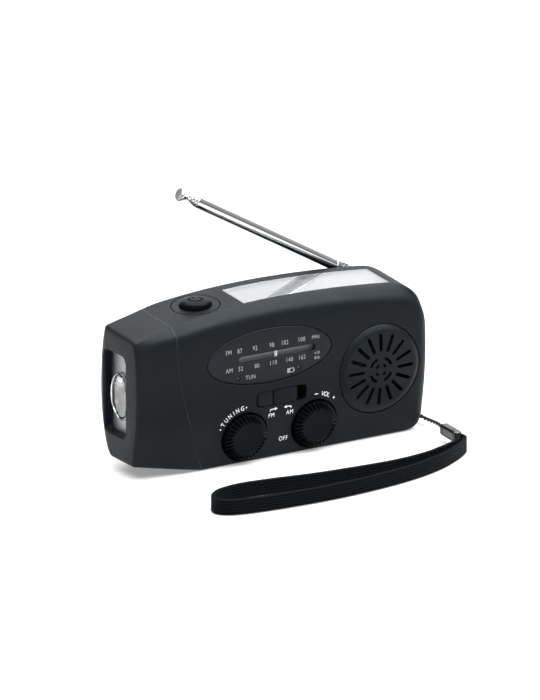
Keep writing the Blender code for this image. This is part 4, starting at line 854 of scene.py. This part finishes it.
def make_rear_case():
    shell = case_part("rear_case", body_region(PARTING_Y + PARTING_GAP, 40))
    bottom = ARM_FOLDED_Y[0] - 0.6
    low_x, high_x = CRANK_X - WELL_REACH - 1.6, CRANK_X + WELL_REACH + 1.6
    tubs = (box((low_x, high_x), (bottom - 1.6, 40), (CRANK_Z - 6.2, CRANK_Z + 6.2)),
            prism("y", circle(CRANK_X, CRANK_Z, 10.8), 12.8, 40),
            box((low_x, CRANK_X - 30.4), (3.2, 40), (CRANK_Z - 8, CRANK_Z + 8)),
            box((CRANK_X + 30.4, high_x), (3.2, 40), (CRANK_Z - 8, CRANK_Z + 8)),
            box((NOTCH_X[0] - 1.6, NOTCH_X[1] + 1.6), (NOTCH_Y - 1.6, 40), (52.4, 75)),
            box((40.0, NOTCH_X[1] + 1.5), (NOTCH_Y - 1.5, 40), (51.2, 74)))
    combine(shell, "UNION", *(inside(tub, 0.9) for tub in tubs))
    for x, z in SCREWS:
        boss = prism("y", circle(x, z, 3.6, 24), PARTING_Y + 0.15, 40)
        combine(shell, "UNION", inside(boss, 0.9))
        combine(shell, "DIFFERENCE", prism("y", circle(x, z, 1.5, 16), 0, 40),
                prism("y", circle(x, z, 2.9, 32), SCREW_HEAD_Y - GAP, 40))
    combine(shell, "DIFFERENCE",
            box((CRANK_X - 40, CRANK_X + 40), (bottom, 40), (CRANK_Z - 4.6, CRANK_Z + 4.6)),
            prism("y", circle(CRANK_X, CRANK_Z, 9.2), 14.4, 40),
            prism("y", circle(CRANK_X, CRANK_Z, 2.4, 32), 10, 40))
    for side in (-1, 1):
        ends = sorted((CRANK_X + side * 31.6, CRANK_X + side * WELL_REACH))
        well = rounded(ends[0], ends[1], CRANK_Z - 6.4, CRANK_Z + 6.4, 5.5, 10)
        combine(shell, "DIFFERENCE", prism("y", well, 4.8, 40))
    combine(shell, "DIFFERENCE", box(NOTCH_X, (NOTCH_Y, 40), (NOTCH_Z, 80)),
            box((41.6, NOTCH_X[1] - 0.01), (NOTCH_Y + 0.01, 40), (52.8, 79)))
    settle(shell, "case", "rear_shell")


def make_torch_case():
    head = case_part("torch_case", head_region())
    frame_line = rounded(-WINDOW_HALF - 1.3, WINDOW_HALF + 1.3, WINDOW_Z[0] - 1.3,
                         WINDOW_Z[1] + 1.3, 3.5)
    combine(head, "UNION", inside(prism("x", frame_line, -70, REFLECTOR_X - GAP), 0.9))
    window = [[(x, y, z) for y, z in rounded(-WINDOW_HALF - flare, WINDOW_HALF + flare,
                                             WINDOW_Z[0] - flare, WINDOW_Z[1] + flare, 2.6 + flare, 8)]
              for x, flare in ((-70, 0.5), (-63.1, 0.5), (-62.7, 0.0), (-50, 0.0))]
    combine(head, "DIFFERENCE", loft(window))
    settle(head, "case", "torch_head")


def make_seam():
    """Narrow moulded line where the torch head meets the case, in a lighter paint that is a painted
    highlight for the light along the seam's edge.
    """
    bead = new_object("torch_seam", prism("y", seam_curve(-0.06) + seam_curve(0.2)[::-1], -40, 40),
                      "edge")
    combine(bead, "INTERSECT", skin(-0.015))
    combine(bead, "DIFFERENCE", skin(0.3))
    settle(bead, "case")


make_front_case()
make_rear_case()
make_torch_case()
make_seam()


# ------------------------------------------------------- dial and speaker
def face_disc(cx, cz, a, b, thick, rows, count):
    """A plate that follows the front face, with a soft rim."""
    edge = 0.35
    front = []
    for k in range(5):
        angle = rad(90 * k / 4)
        drop, shift = edge * (1 - math.sin(angle)), edge * (1 - math.cos(angle))
        front.append(place_on_disc(cx, cz, a - shift, b - shift, 1.0, drop, count))
    flat = [1 - k / rows for k in range(1, rows)] + [0.0]
    front += [place_on_disc(cx, cz, a - edge, b - edge, s, 0.0, count) for s in flat]
    back = [[(x, y + thick, z) for x, y, z in
             place_on_disc(cx, cz, a, b, s, 0.0, count)] for s in [0.0] + flat[-2::-1] + [1.0]]
    return loft(front + back, closed=True)


def place_on_disc(cx, cz, a, b, scale, drop, count):
    ring = circle(cx, cz, a * scale, count, b * scale) if scale else [(cx, cz)]
    return [(x, front_y(z, x) + drop, z) for x, z in ring]


def flared(outline, surface, depth=0.25, flare=0.18):
    """A cutter whose mouth opens softly at a curved surface, cut along Y."""
    middle = Vector((sum(p[0] for p in outline), sum(p[1] for p in outline))) / len(outline)
    normals = []
    for before, here, after in zip(outline[-1:] + outline[:-1], outline, outline[1:] + outline[:1]):
        side = Vector((after[1] - before[1], before[0] - after[0])).normalized()
        normals.append(side if side.dot(Vector(here) - middle) > 0 else -side)
    rings = []
    for y, reach in ((None, flare + 0.05), (-0.02, flare), (depth * 0.4, flare * 0.35), (depth, 0.0),
                     (9.0, 0.0)):
        ring = []
        for (x, z), n in zip(outline, normals):
            level = surface(x, z)
            ring.append((x + n.x * reach, level - 2.0 if y is None else level + y, z + n.y * reach))
        rings.append(ring)
    return loft(rings)


def make_dial():
    plate = new_object("dial_face", face_disc(DIAL_X, DIAL_Z, DIAL_A - 0.26, DIAL_B - 0.26, 1.2,
                                              14, 144), "dial")
    slot = rounded(SLOT_LEFT, SLOT_RIGHT, DIAL_Z - SLOT_HALF, DIAL_Z + SLOT_HALF, 1.24, 8)
    combine(plate, "DIFFERENCE", flared(slot, lambda x, z: front_y(z, x), 0.2, 0.12))
    for x in LED_XS:
        combine(plate, "DIFFERENCE", prism("y", circle(x, LED_Z, 0.88, 32), -30, -8))
    settle(plate, "case", "dial_plate")


def grille_y(x, z):
    """Front of the grille: a wide chamfer round a nearly flat middle."""
    radius = math.hypot(x - SPEAKER_X, z - SPEAKER_Z)
    level = 0.0
    for (r0, h0), (r1, h1) in zip(GRILLE_RINGS, GRILLE_RINGS[1:]):
        if r0 <= radius <= r1:
            level = h0 + (h1 - h0) * (radius - r0) / (r1 - r0)
    return front_y(z, x) - level


def make_grille():
    rim = [(17.4, -0.5), (17.4, -0.2), (17.32, -0.04), (17.15, 0.1), (16.7, 0.36), (16.1, 0.7),
           (15.7, 0.91), (15.45, 1.0), (15.2, 1.05), (14.8, 1.07), (14.2, 1.09)]
    rim += [(radius, 1.2 - 0.0085 * radius) for radius in (12, 10, 8, 6, 4.5, 3, 1.5)] + [(0, 1.2)]
    rim = [(radius, -rise) for radius, rise in rim]
    rim += [(radius, 1.2 - rise * 0.5) for radius, rise in GRILLE_RINGS]
    rings = [place_on_disc(SPEAKER_X, SPEAKER_Z, radius, radius, 1.0 if radius else 0.0, drop, 128)
             for radius, drop in rim]
    plate = new_object("grille", loft(rings, closed=True), "case")
    cutters = []
    bar = rounded(7.2, 14.1, -0.62, 0.62, 0.6, 6)
    for i in range(16):
        turn = Matrix.Rotation(2 * math.pi * i / 16, 2)
        line = [turn @ Vector(p) for p in bar]
        cutters.append(flared([(p.x + SPEAKER_X, p.y + SPEAKER_Z) for p in line], grille_y, 0.3, 0.14))
    for low, high, span in ((4.1, 5.2, 52), (1.7, 2.6, 44)):
        for i in range(4):
            first = rad(45 + 90 * i - span / 2)
            angles = [first + rad(span) * k / 12 for k in range(13)]
            line = [(x + SPEAKER_X, z + SPEAKER_Z) for x, z in sector(low, high, angles)]
            cutters.append(prism("y", line, -30, -8))
    combine(plate, "DIFFERENCE", joined(*cutters))
    settle(plate, "case", "speaker_grille")


# --------------------------------------------------------------- knobs
KNOB_RADIUS, FLUTES = 9.25, 32


def knob_shape():
    """Fluted cap in the control's own frame, where +Z goes into the case."""
    count = FLUTES * 16
    profile = [(9.25, 2.5, 0.55), (9.25, 0.2, 0.65), (9.25, -0.4, 0.75), (9.2, -1.0, 0.9),
               (9.05, -1.6, 1.1), (8.75, -2.1, 1.25), (8.35, -2.5, 1.25), (7.85, -2.8, 1.1),
               (7.35, -2.97, 0.85), (6.9, -3.0, 0.55), (6.5, -2.98, 0.28), (6.1, -2.9, 0.1),
               (5.7, -2.84, 0.0), (5.2, -2.8, 0.0), (3.0, -2.8, 0.0), (0.0, -2.8, 0.0)]
    rings = []
    for radius, height, depth in profile:
        if radius == 0.0:
            rings.append(level_ring(0, height, count))
            continue
        twist = 0.035 * max(0.0, KNOB_RADIUS - radius)
        ring = []
        for k in range(count):
            a = 2 * math.pi * k / count
            wave = (0.5 + 0.5 * math.cos(FLUTES * (a - twist))) ** 1.7
            cut_in = depth * (1 - wave)
            reach = radius - cut_in * 0.75
            ring.append((reach * math.cos(a), reach * math.sin(a),
                         height + cut_in * 0.85 * ease(-height, 0.4, 2.0)))
        rings.append(ring)
    bore = [level_ring(radius, height, count) for radius, height in ((0, -1.5), (3.2, -1.5), (3.2, 2.5))]
    return loft(bore + rings, caps=False)


def make_knobs():
    for name, x, body, node in (("tuning_cap", TUNING_X, "tuner", "tuning_knob"),
                                ("volume_cap", VOLUME_X, "volume", "volume_knob")):
        new_object(name, moved(knob_shape(), face_frame(x)), "knob", body, 50.0, node)


# --------------------------------------------------------- band switch
def soft_block(x0, x1, z0, z1, y_front, y_back, corner):
    """A block with round corners and a soft front rim, front towards -Y."""
    edge = 0.3
    rings = []
    for shift, y in ((0.0, y_back), (0.0, y_front + edge), (edge * 0.13, y_front + edge * 0.5),
                     (edge * 0.5, y_front + edge * 0.13), (edge, y_front)):
        line = rounded(x0 + shift, x1 - shift, z0 + shift, z1 - shift, max(corner - shift, 0.1), 6)
        rings.append([(x, y, z) for x, z in line])
    return loft(rings)


def make_slider():
    left = BAND_X - BAND_LENGTH / 2 + GAP
    right = BAND_X + BAND_LENGTH / 2 - GAP - BAND_TRAVEL
    centre = (left + right) / 2
    low, high = BAND_Z - BAND_HEIGHT / 2 + GAP * 0.6, BAND_Z + BAND_HEIGHT / 2 - GAP * 0.6
    slider = new_object("band_slide", soft_block(left + 0.45, right, low, high, -18.25, -15.8, 1.6), "case")
    combine(slider, "UNION",
            soft_block(centre - 1.4, right - 0.02, low + 0.02, high - 0.02, -18.6, -16.0, 1.5),
            box((left - 1.3, right + 1.3), (-16.0, -15.4), (22.4, 28.4)))
    groove = [(centre - 1.9, -18.25), (centre - 1.35, -18.0), (centre - 1.3, -30), (centre - 2.0, -30)]
    combine(slider, "DIFFERENCE", prism("z", groove, low - 1, high + 1))
    settle(slider, "slider", "band_slider")


# ------------------------------------------------------- top of the case
def make_button():
    profile = [(0, 51.3), (1.6, 51.3), (1.6, 55.6), (7.0, 55.8), (7.0, 56.6), (5.95, 56.7),
               (5.95, 60.9), (5.9, 61.5), (5.7, 61.95), (5.3, 62.25), (4.4, 62.5), (3.0, 62.7),
               (1.6, 62.8), (0, 62.83)]
    place = Matrix.Translation((BUTTON_X, BUTTON_Y, 0))
    cap = new_object("torch_push", moved(lathe(profile, 96), place), "knob")
    for line in (arc_stroke(2.5, 0.36, 125, 415), bar_stroke(0, 3.2, 0, 0.6, 0.36)):
        combine(cap, "DIFFERENCE", moved(prism("z", line, 62.2, 70), place))
    settle(cap, "button", "torch_button")


def sector(low, high, angles):
    """Outline of a ring's sector about the origin."""
    line = [(high * math.cos(a), high * math.sin(a)) for a in angles]
    return line + [(low * math.cos(a), low * math.sin(a)) for a in reversed(angles)]


def arc_stroke(radius, half, start, end):
    angles = [rad(start + (end - start) * k / 24) for k in range(25)]
    return sector(radius - half, radius + half, angles)


def bar_stroke(x0, y0, x1, y1, half):
    along = (Vector((x1, y1)) - Vector((x0, y0))).normalized()
    side = Vector((-along.y, along.x)) * half
    return [(x0 + side.x, y0 + side.y), (x1 + side.x, y1 + side.y), (x1 - side.x, y1 - side.y),
            (x0 - side.x, y0 - side.y)]


def make_panel():
    x0, x1 = PANEL_X[0] + 0.22, PANEL_X[1] - 0.22
    y0, y1 = PANEL_Y[0] + 0.22, PANEL_Y[1] - 0.22
    cover = new_object("solar_window", box((x0, x1), (y0, y1), (45, 75)), "film")
    combine(cover, "INTERSECT", skin(0.0))
    combine(cover, "DIFFERENCE", skin(1.2))
    settle(cover, "case", "solar_cover")


# --------------------------------------------------------------- torch
LED_SPOTS = ((-1.9, 4.3), (1.9, 0.0), (-1.9, -4.3))


def oval(x, a, b):
    return [(x, y, z) for y, z in circle(0, REFLECTOR_Z, a, 96, b)]


def make_torch():
    plate = new_object("torch_plate", prism("x", rounded(-8.9, 8.6, WINDOW_Z[0] - 0.9, WINDOW_Z[1] + 1.0,
                                                         4.2, 8), REFLECTOR_X, REFLECTOR_X + 0.9), "plate")
    a, b = REFLECTOR_A, REFLECTOR_B
    rim = [oval(-59.55, a + 0.1, b + 0.1), oval(-60.5, a, b), oval(-60.85, a - 0.1, b - 0.1),
           oval(-61.0, a - 0.35, b - 0.35), oval(-60.9, a - 0.6, b - 0.6)]
    bowl = [oval(-60.6, a - 0.75, b - 0.75)]
    steps = 10
    for k in range(1, steps + 1):
        t = k / steps
        shrink = 2.3 * t ** 1.8
        bowl.append(oval(-60.6 + 6.4 * math.sin(t * math.pi / 2), a - 0.8 - shrink, b - 0.8 - shrink))
    outer = [oval(-53.2, 5.6, 7.8), oval(-57.0, a - 0.2, b - 0.2), oval(-59.0, a, b)]
    cup = new_object("torch_bowl", loft([oval(-59.3, a + 0.1, b + 0.1)] + rim + bowl + outer,
                                        closed=True), "mirror")
    combine(plate, "DIFFERENCE", loft([oval(-65, a - 0.4, b - 0.4), oval(-50, a - 0.4, b - 0.4)]))
    bake(plate)
    back = new_object("torch_bowl_floor", loft([oval(-54.3, 5.6, 7.8), oval(-53.3, 5.6, 7.8)]), "mirror")
    for y, z in LED_SPOTS:
        combine(back, "DIFFERENCE", prism("x", circle(y, REFLECTOR_Z + z, 1.55, 32), -60, -50))
    bake(back)
    for piece in (plate, cup, back):
        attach(piece, "case")
        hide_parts("torch_reflector")
    for i, (y, z) in enumerate(LED_SPOTS):
        dome = [(0, 0.0), (0.6, 0.1), (1.0, 0.35), (1.28, 0.8), (1.38, 1.5), (1.38, 4.0), (1.3, 4.2),
                (0, 4.2)]
        new_object(f"torch_bulb_{i + 1}", moved(lathe(dome, 48), along_x(-57.0, y, REFLECTOR_Z + z)),
                   "epoxy", "case", node=f"torch_led_{i + 1}")
    lens = [oval(-61.15, 1.5, 2.6), oval(-61.1, 3.6, 5.4), oval(-60.95, a - 1.6, b - 1.6),
            oval(-60.8, a - 1.15, b - 1.15), oval(-60.2, a - 1.1, b - 1.1),
            oval(-59.9, a - 1.2, b - 1.2), oval(-59.85, 1.5, 2.6)]
    new_object("torch_glass", loft(lens), "clear", "case", node="torch_lens")


# -------------------------------------------------------------- antenna
ANTENNA = (46.5, 13.5, 57.0)
ANTENNA_LIFT = rad(30.0)


def make_antenna():
    place = Matrix.Translation(ANTENNA) @ Matrix.Rotation(ANTENNA_LIFT - math.pi / 2, 4, "Y")

    def tube(name, outer, inner, low, high, body, node):
        lip = min(0.12, (outer - inner) * 0.4)
        profile = [(inner, low), (outer - lip, low), (outer, low + 0.3), (outer, high - 0.9),
                   (outer - 0.03, high - 0.5), (outer - 0.12, high - 0.14), (outer - 0.26, high),
                   (inner, high)]
        new_object(name, moved(lathe(profile, 64), place), "chrome", body, 40.0, node)

    lug = [(x, z) for x, z in circle(0, 0, 2.35, 40, phase=math.pi)[0:21]] + [(2.15, 4.0), (-2.15, 4.0)]
    base = new_object("mast_base", moved(prism("y", lug, -0.95, 0.95), place), "chrome")
    collar = lathe(soften([(0, 3.3), (1.9, 3.3), (2.35, 3.8), (2.35, 6.3), (0, 6.3)], 0.2), 64)
    first = lathe([(1.9, 5.4), (2.2, 5.4), (2.2, 75.8), (2.16, 76.2), (2.08, 76.55), (1.94, 76.7),
                   (1.9, 76.7)], 64)
    combine(base, "UNION", moved(collar, place), moved(first, place))
    combine(base, "DIFFERENCE", moved(prism("y", circle(0, 0, 1.2, 32), -5, 5), place))
    settle(base, "mast", "antenna_base")
    tube("mast_stage_1", 1.8, 1.5, 6.4, 77.9, "stage_1", "antenna_stage_1")
    tube("mast_stage_2", 1.4, 1.1, 7.2, 79.1, "stage_2", "antenna_stage_2")
    rod = [(0, 8.0), (0.9, 8.0), (1.0, 8.2), (1.0, 80.7), (1.2, 81.1), (1.55, 81.7), (1.9, 82.4),
           (2.3, 83.3), (2.62, 83.9), (2.7, 84.2), (2.66, 84.55), (2.45, 84.8), (2.0, 84.98),
           (1.0, 85.08), (0, 85.1)]
    new_object("mast_tip", moved(lathe(rod, 64), place), "chrome", "tip", 40.0, "antenna_rod")


# ---------------------------------------------------------------- crank
def make_crank():
    y_near, y_far = (2 * CRANK_HINGE_Y - y for y in ARM_FOLDED_Y[::-1])
    knob_x = CRANK_X + CRANK_REACH

    def bar(shrink):
        half, tip = 3.4 - shrink, 5.5 - shrink
        line = [(CRANK_X + shrink * 0.5, CRANK_Z - half), (knob_x - 7.2, CRANK_Z - half)]
        line += [(knob_x - 7.2 + 4.4 * t, CRANK_Z - half - (tip * 0.84 - half) * ease(t, 0, 1))
                 for t in (0.25, 0.5, 0.75)]
        line += [(knob_x + tip * math.cos(a), CRANK_Z + tip * math.sin(a))
                 for a in (rad(-118 + 8 * i) for i in range(30))]
        line += [(knob_x - 7.2 + 4.4 * t, CRANK_Z + half + (tip * 0.84 - half) * ease(t, 0, 1))
                 for t in (0.75, 0.5, 0.25)]
        return line + [(knob_x - 7.2, CRANK_Z + half), (CRANK_X + shrink * 0.5, CRANK_Z + half)]

    rings = [[(x, y, z) for x, z in bar(s)] for s, y in
             ((0.45, y_near), (0.13, y_near + 0.14), (0.0, y_near + 0.45), (0.0, y_far - 0.45),
              (0.13, y_far - 0.14), (0.45, y_far))]
    arm = new_object("crank_lever", loft(rings), "black")
    combine(arm, "UNION", prism("z", circle(CRANK_X, CRANK_HINGE_Y, 2.3, 48), CRANK_Z - 3.45,
                                CRANK_Z + 3.45))
    recess = prism("y", rounded(CRANK_X + 6, knob_x - 8, CRANK_Z - 1.7, CRANK_Z + 1.7, 1.2), y_far - 0.8, 40)
    combine(arm, "DIFFERENCE", recess, prism("z", circle(CRANK_X, CRANK_HINGE_Y, 1.3, 32), 20, 45),
            prism("y", circle(knob_x, CRANK_Z, 1.75, 32), 20, 45))
    settle(arm, "arm", "crank_arm")
    profile = [(1.75, 0), (4.3, 0), (4.7, 0.1), (4.95, 0.4), (4.95, 0.8), (4.75, 1.8), (4.62, 3.4),
               (4.7, 6.0), (4.95, 7.6), (5.2, 8.8), (5.3, 9.6), (5.27, 10.2), (5.1, 10.65), (4.75, 10.95),
               (4.3, 11.0), (3.5, 11.0), (3.2, 10.8), (3.2, 9.6), (1.75, 9.6)]
    count = 144
    rings = []
    for r, h in profile:
        ring = []
        for k in range(count):
            a = 2 * math.pi * k / count
            groove = 0.16 * (0.5 + 0.5 * math.cos(18 * a)) ** 3 * ease(h, 0.9, 2.0) * ease(-h, -9.6, -8.6)
            reach = r - (groove if r > 4.4 else 0.0)
            ring.append((reach * math.cos(a), reach * math.sin(a), h))
        rings.append(ring)
    new_object("crank_handle", moved(loft(rings, closed=True), along_y(knob_x, y_far + GAP, CRANK_Z)),
               "knob", "grip", 45.0, "crank_knob")


def make_flap():
    rings = []
    for x, shrink in ((62.2, 0.15), (62.3, 0.0), (63.05, 0.0), (63.22, 0.1), (63.3, 0.3)):
        line = rounded(-9.2 + shrink, -1.3 - shrink, 23.3 + shrink, 31.7 - shrink, 0.6, 5)
        rings.append([(x, y, z) for y, z in line])
    flap = new_object("port_flap", loft(rings), "soft")
    combine(flap, "DIFFERENCE", prism("x", rounded(-6.9, -3.6, 30.3, 31.0, 0.3), 62.9, 70))
    settle(flap, "flap", "port_cover")


# --------------------------------------------------------------- print
PRINT_LIFT = 0.035


def glyphs(text, size, bold=0.0, spacing=1.0):
    """Flat letters centred on the origin, as a bmesh in millimetres."""
    curve = bpy.data.curves.new("glyphs", "FONT")
    curve.body = text
    curve.size = size
    curve.offset = bold
    curve.space_character = spacing
    curve.align_x, curve.align_y = "CENTER", "CENTER"
    curve.resolution_u = 3
    holder = bpy.data.objects.new("glyphs", curve)
    scene.collection.objects.link(holder)
    bpy.context.view_layer.update()
    mesh = bpy.data.meshes.new_from_object(
        holder.evaluated_get(bpy.context.evaluated_depsgraph_get()))
    bm = bmesh.new()
    bm.from_mesh(mesh)
    bpy.data.objects.remove(holder)
    bpy.data.curves.remove(curve)
    bpy.data.meshes.remove(mesh)
    return bm


def shape(outline):
    bm = bmesh.new()
    bm.faces.new([bm.verts.new((x, y, 0)) for x, y in outline])
    return bm


def onto_face(bm, x, z, turn=0.0, stretch=1.0):
    """Carry flat artwork onto the front face, turned clockwise by an angle."""
    c, s = math.cos(-turn), math.sin(-turn)
    for v in bm.verts:
        a, b = v.co.x * stretch, v.co.y
        px, pz = x + a * c - b * s, z + a * s + b * c
        v.co = (px, front_y(pz, px) - PRINT_LIFT, pz)
    return bm


def stroke(points, half):
    """A bent line of even width, as separate quads."""
    parts = []
    for (x0, y0), (x1, y1) in zip(points, points[1:]):
        parts.append(shape(bar_stroke(x0, y0, x1, y1, half)))
    return parts


def make_print():
    dial_print, case_print = [], []
    rows = ((45.4, ((-24.85, "FM"), (-20.0, "87"), (-13.3, "92"), (-6.0, "98"), (-0.35, "102"),
                    (7.0, "108"), (13.2, "MHz"))),
            (38.55, ((-24.85, "AM"), (-19.9, "52"), (-12.8, "80"), (-5.7, "110"), (1.4, "140"),
                     (6.9, "162"))))
    for z, row in rows:
        for x, text in row:
            size = 1.95 if text == "MHz" else 2.4
            dial_print.append(onto_face(glyphs(text, size, 0.0, 1.12), x, z, stretch=0.84))
    dial_print.append(onto_face(glyphs("×10", 1.7, 0.01), 13.5, 39.2, stretch=0.86))
    dial_print.append(onto_face(glyphs("kHz", 1.7, 0.01), 13.5, 37.4, stretch=0.86))
    dial_print.append(onto_face(glyphs("TUN", 2.35, 0.0, 1.15), -15.6, 34.6, stretch=0.84))
    icon = stroke([(-1.5, -0.75), (1.2, -0.75), (1.2, 0.75), (-1.5, 0.75), (-1.5, -0.9)], 0.13)
    icon += [shape([(1.2, -0.35), (1.6, -0.35), (1.6, 0.35), (1.2, 0.35)]),
             shape([(-1.3, -0.6), (-0.5, -0.6), (-0.2, 0.6), (-1.3, 0.6)])]
    dial_print += [onto_face(part, 2.0, 34.4) for part in icon]
    new_object("dial_print", joined(*dial_print), "ink", "case", None)
    for text, x, z, size in (("FM", -5.8, 17.6, 2.45), ("AM", 2.2, 17.6, 2.45), ("OFF", 0.4, 7.1, 2.5)):
        case_print.append(onto_face(glyphs(text, size, 0.0, 1.16), x, z, stretch=0.84))
    for x, z, way in ((-4.9, 20.0, 1), (1.1, 20.0, -1)):
        arrow = stroke([(-1.5 * way, -0.7), (-1.5 * way, 0.1), (0.5 * way, 0.1)], 0.17)
        arrow.append(shape([(0.4 * way, -0.5), (1.6 * way, 0.1), (0.4 * way, 0.7)]))
        case_print += [onto_face(part, x, z) for part in arrow]
    ring = [(VOLUME_X, 11.9, angle, text, turned) for angle, text, turned in
            ((14, "V", 1.0), (20.5, "O", 1.0), (27, "L", 1.0), (41, "+", 0.3))]
    angles = (-67, -57, -47, -37, -28, -19.5, -9)
    tuning = ("•", "T", "U", "N", "I", "N", "G")
    ring += [(TUNING_X, 11.75, angle, text, 1.0) for angle, text in zip(angles, tuning)]
    ring.append((TUNING_X, 11.75, -0.5, "•", 1.0))
    for cx, radius, angle, text, turned in ring:
        a = rad(angle)
        letter = glyphs(text, 2.6, 0.005)
        case_print.append(onto_face(letter, cx + radius * math.sin(a), CONTROL_Z + radius * math.cos(a),
                                    a * turned, stretch=0.8))
    minus = shape([(-0.75, -0.16), (0.75, -0.16), (0.75, 0.16), (-0.75, 0.16)])
    case_print.append(onto_face(minus, VOLUME_X, CONTROL_Z + 11.9))
    new_object("case_print", joined(*case_print), "print", "case", None)


make_dial()
make_grille()
make_knobs()
make_slider()
make_button()
make_panel()
make_torch()
make_antenna()
make_crank()
make_flap()
make_print()

# ------------------------------------------- finishes of the CAD pieces kept
KEPT = {
    "steel": "case_screw_1 case_screw_2 case_screw_3 case_screw_4 speaker_frame band_switch generator_can "
             "crank_hinge_pin crank_knob_pin torch_switch antenna_bracket usb_socket strap_pin",
    "white": "tuning_capacitor idler_gear crank_gear tuning_shaft volume_shaft",
    "board": "torch_led_board main_board torch_board",
    "black": "gearbox_plate crank_spindle",
    "slate": "dial_backing", "red": "tuning_led", "green": "charge_led", "paper": "speaker_cone",
    "cell": "solar_cell", "phenolic": "volume_control", "ferrite": "ferrite_rod", "wire": "antenna_coil",
    "wrap": "battery_pack", "brass": "generator_rotor", "needle": "pointer_rack", "chrome": "antenna_pivot",
}


def finish_kept():
    for paint, names in KEPT.items():
        for name in names.split():
            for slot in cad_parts[name].material_slots:
                slot.material = paints[paint].made


finish_kept()


# ------------------------------------------------------- stage and light
def make_stage():
    floor = Paint("stage", (0.44, 0.44, 0.44), 0.75)
    floor.set("Emission Color", (1.0, 1.0, 1.0, 1.0))
    floor.set("Emission Strength", 0.28)
    floor.set("Specular IOR Level", 0.1)
    bm = bmesh.new()
    corners = [bm.verts.new(p) for p in ((-9000, -9000, 0), (9000, -9000, 0), (9000, 9000, 0),
                                         (-9000, 9000, 0))]
    bm.faces.new(corners)
    ground = new_object("stage_floor", bm, None)
    ground.data.materials.append(floor.made)


LIGHT_AIM = Vector((0, 0, 30)) * MM


def area_light(name, azimuth, elevation, distance, size, power, tall=None):
    light = bpy.data.lights.new(name, "AREA")
    light.energy = power
    light.shape = "RECTANGLE"
    light.size = size
    light.size_y = tall or size
    holder = bpy.data.objects.new(name, light)
    scene.collection.objects.link(holder)
    look_from(holder, LIGHT_AIM, direction(rad(azimuth), rad(elevation)), distance)


def make_light():
    world = bpy.data.worlds.new("studio")
    scene.world = world
    world.use_nodes = True
    nodes, links = world.node_tree.nodes, world.node_tree.links
    sky = nodes["Background"]
    sky.inputs["Strength"].default_value = 0.60
    place = nodes.new("ShaderNodeTexCoord")
    split = nodes.new("ShaderNodeSeparateXYZ")
    links.new(place.outputs["Generated"], split.inputs["Vector"])
    depth = nodes.new("ShaderNodeMapRange")
    depth.inputs["From Min"].default_value = -0.9
    depth.inputs["From Max"].default_value = 0.5
    depth.inputs["To Min"].default_value = 0.40
    depth.inputs["To Max"].default_value = 0.70
    links.new(split.outputs["Y"], depth.inputs["Value"])
    links.new(depth.outputs["Result"], sky.inputs["Color"])
    area_light("overhead", 0, 86, 1.3, 2.6, 113.0)
    area_light("rear_box", 150, 22, 1.3, 1.5, 3.6, 0.7)
    area_light("left_box", -115, 28, 1.2, 0.8, 1.0)
    area_light("front_box", 60, 52, 1.6, 0.9, 13.0)


make_stage()
make_light()

for made in tools:
    bpy.data.objects.remove(made)
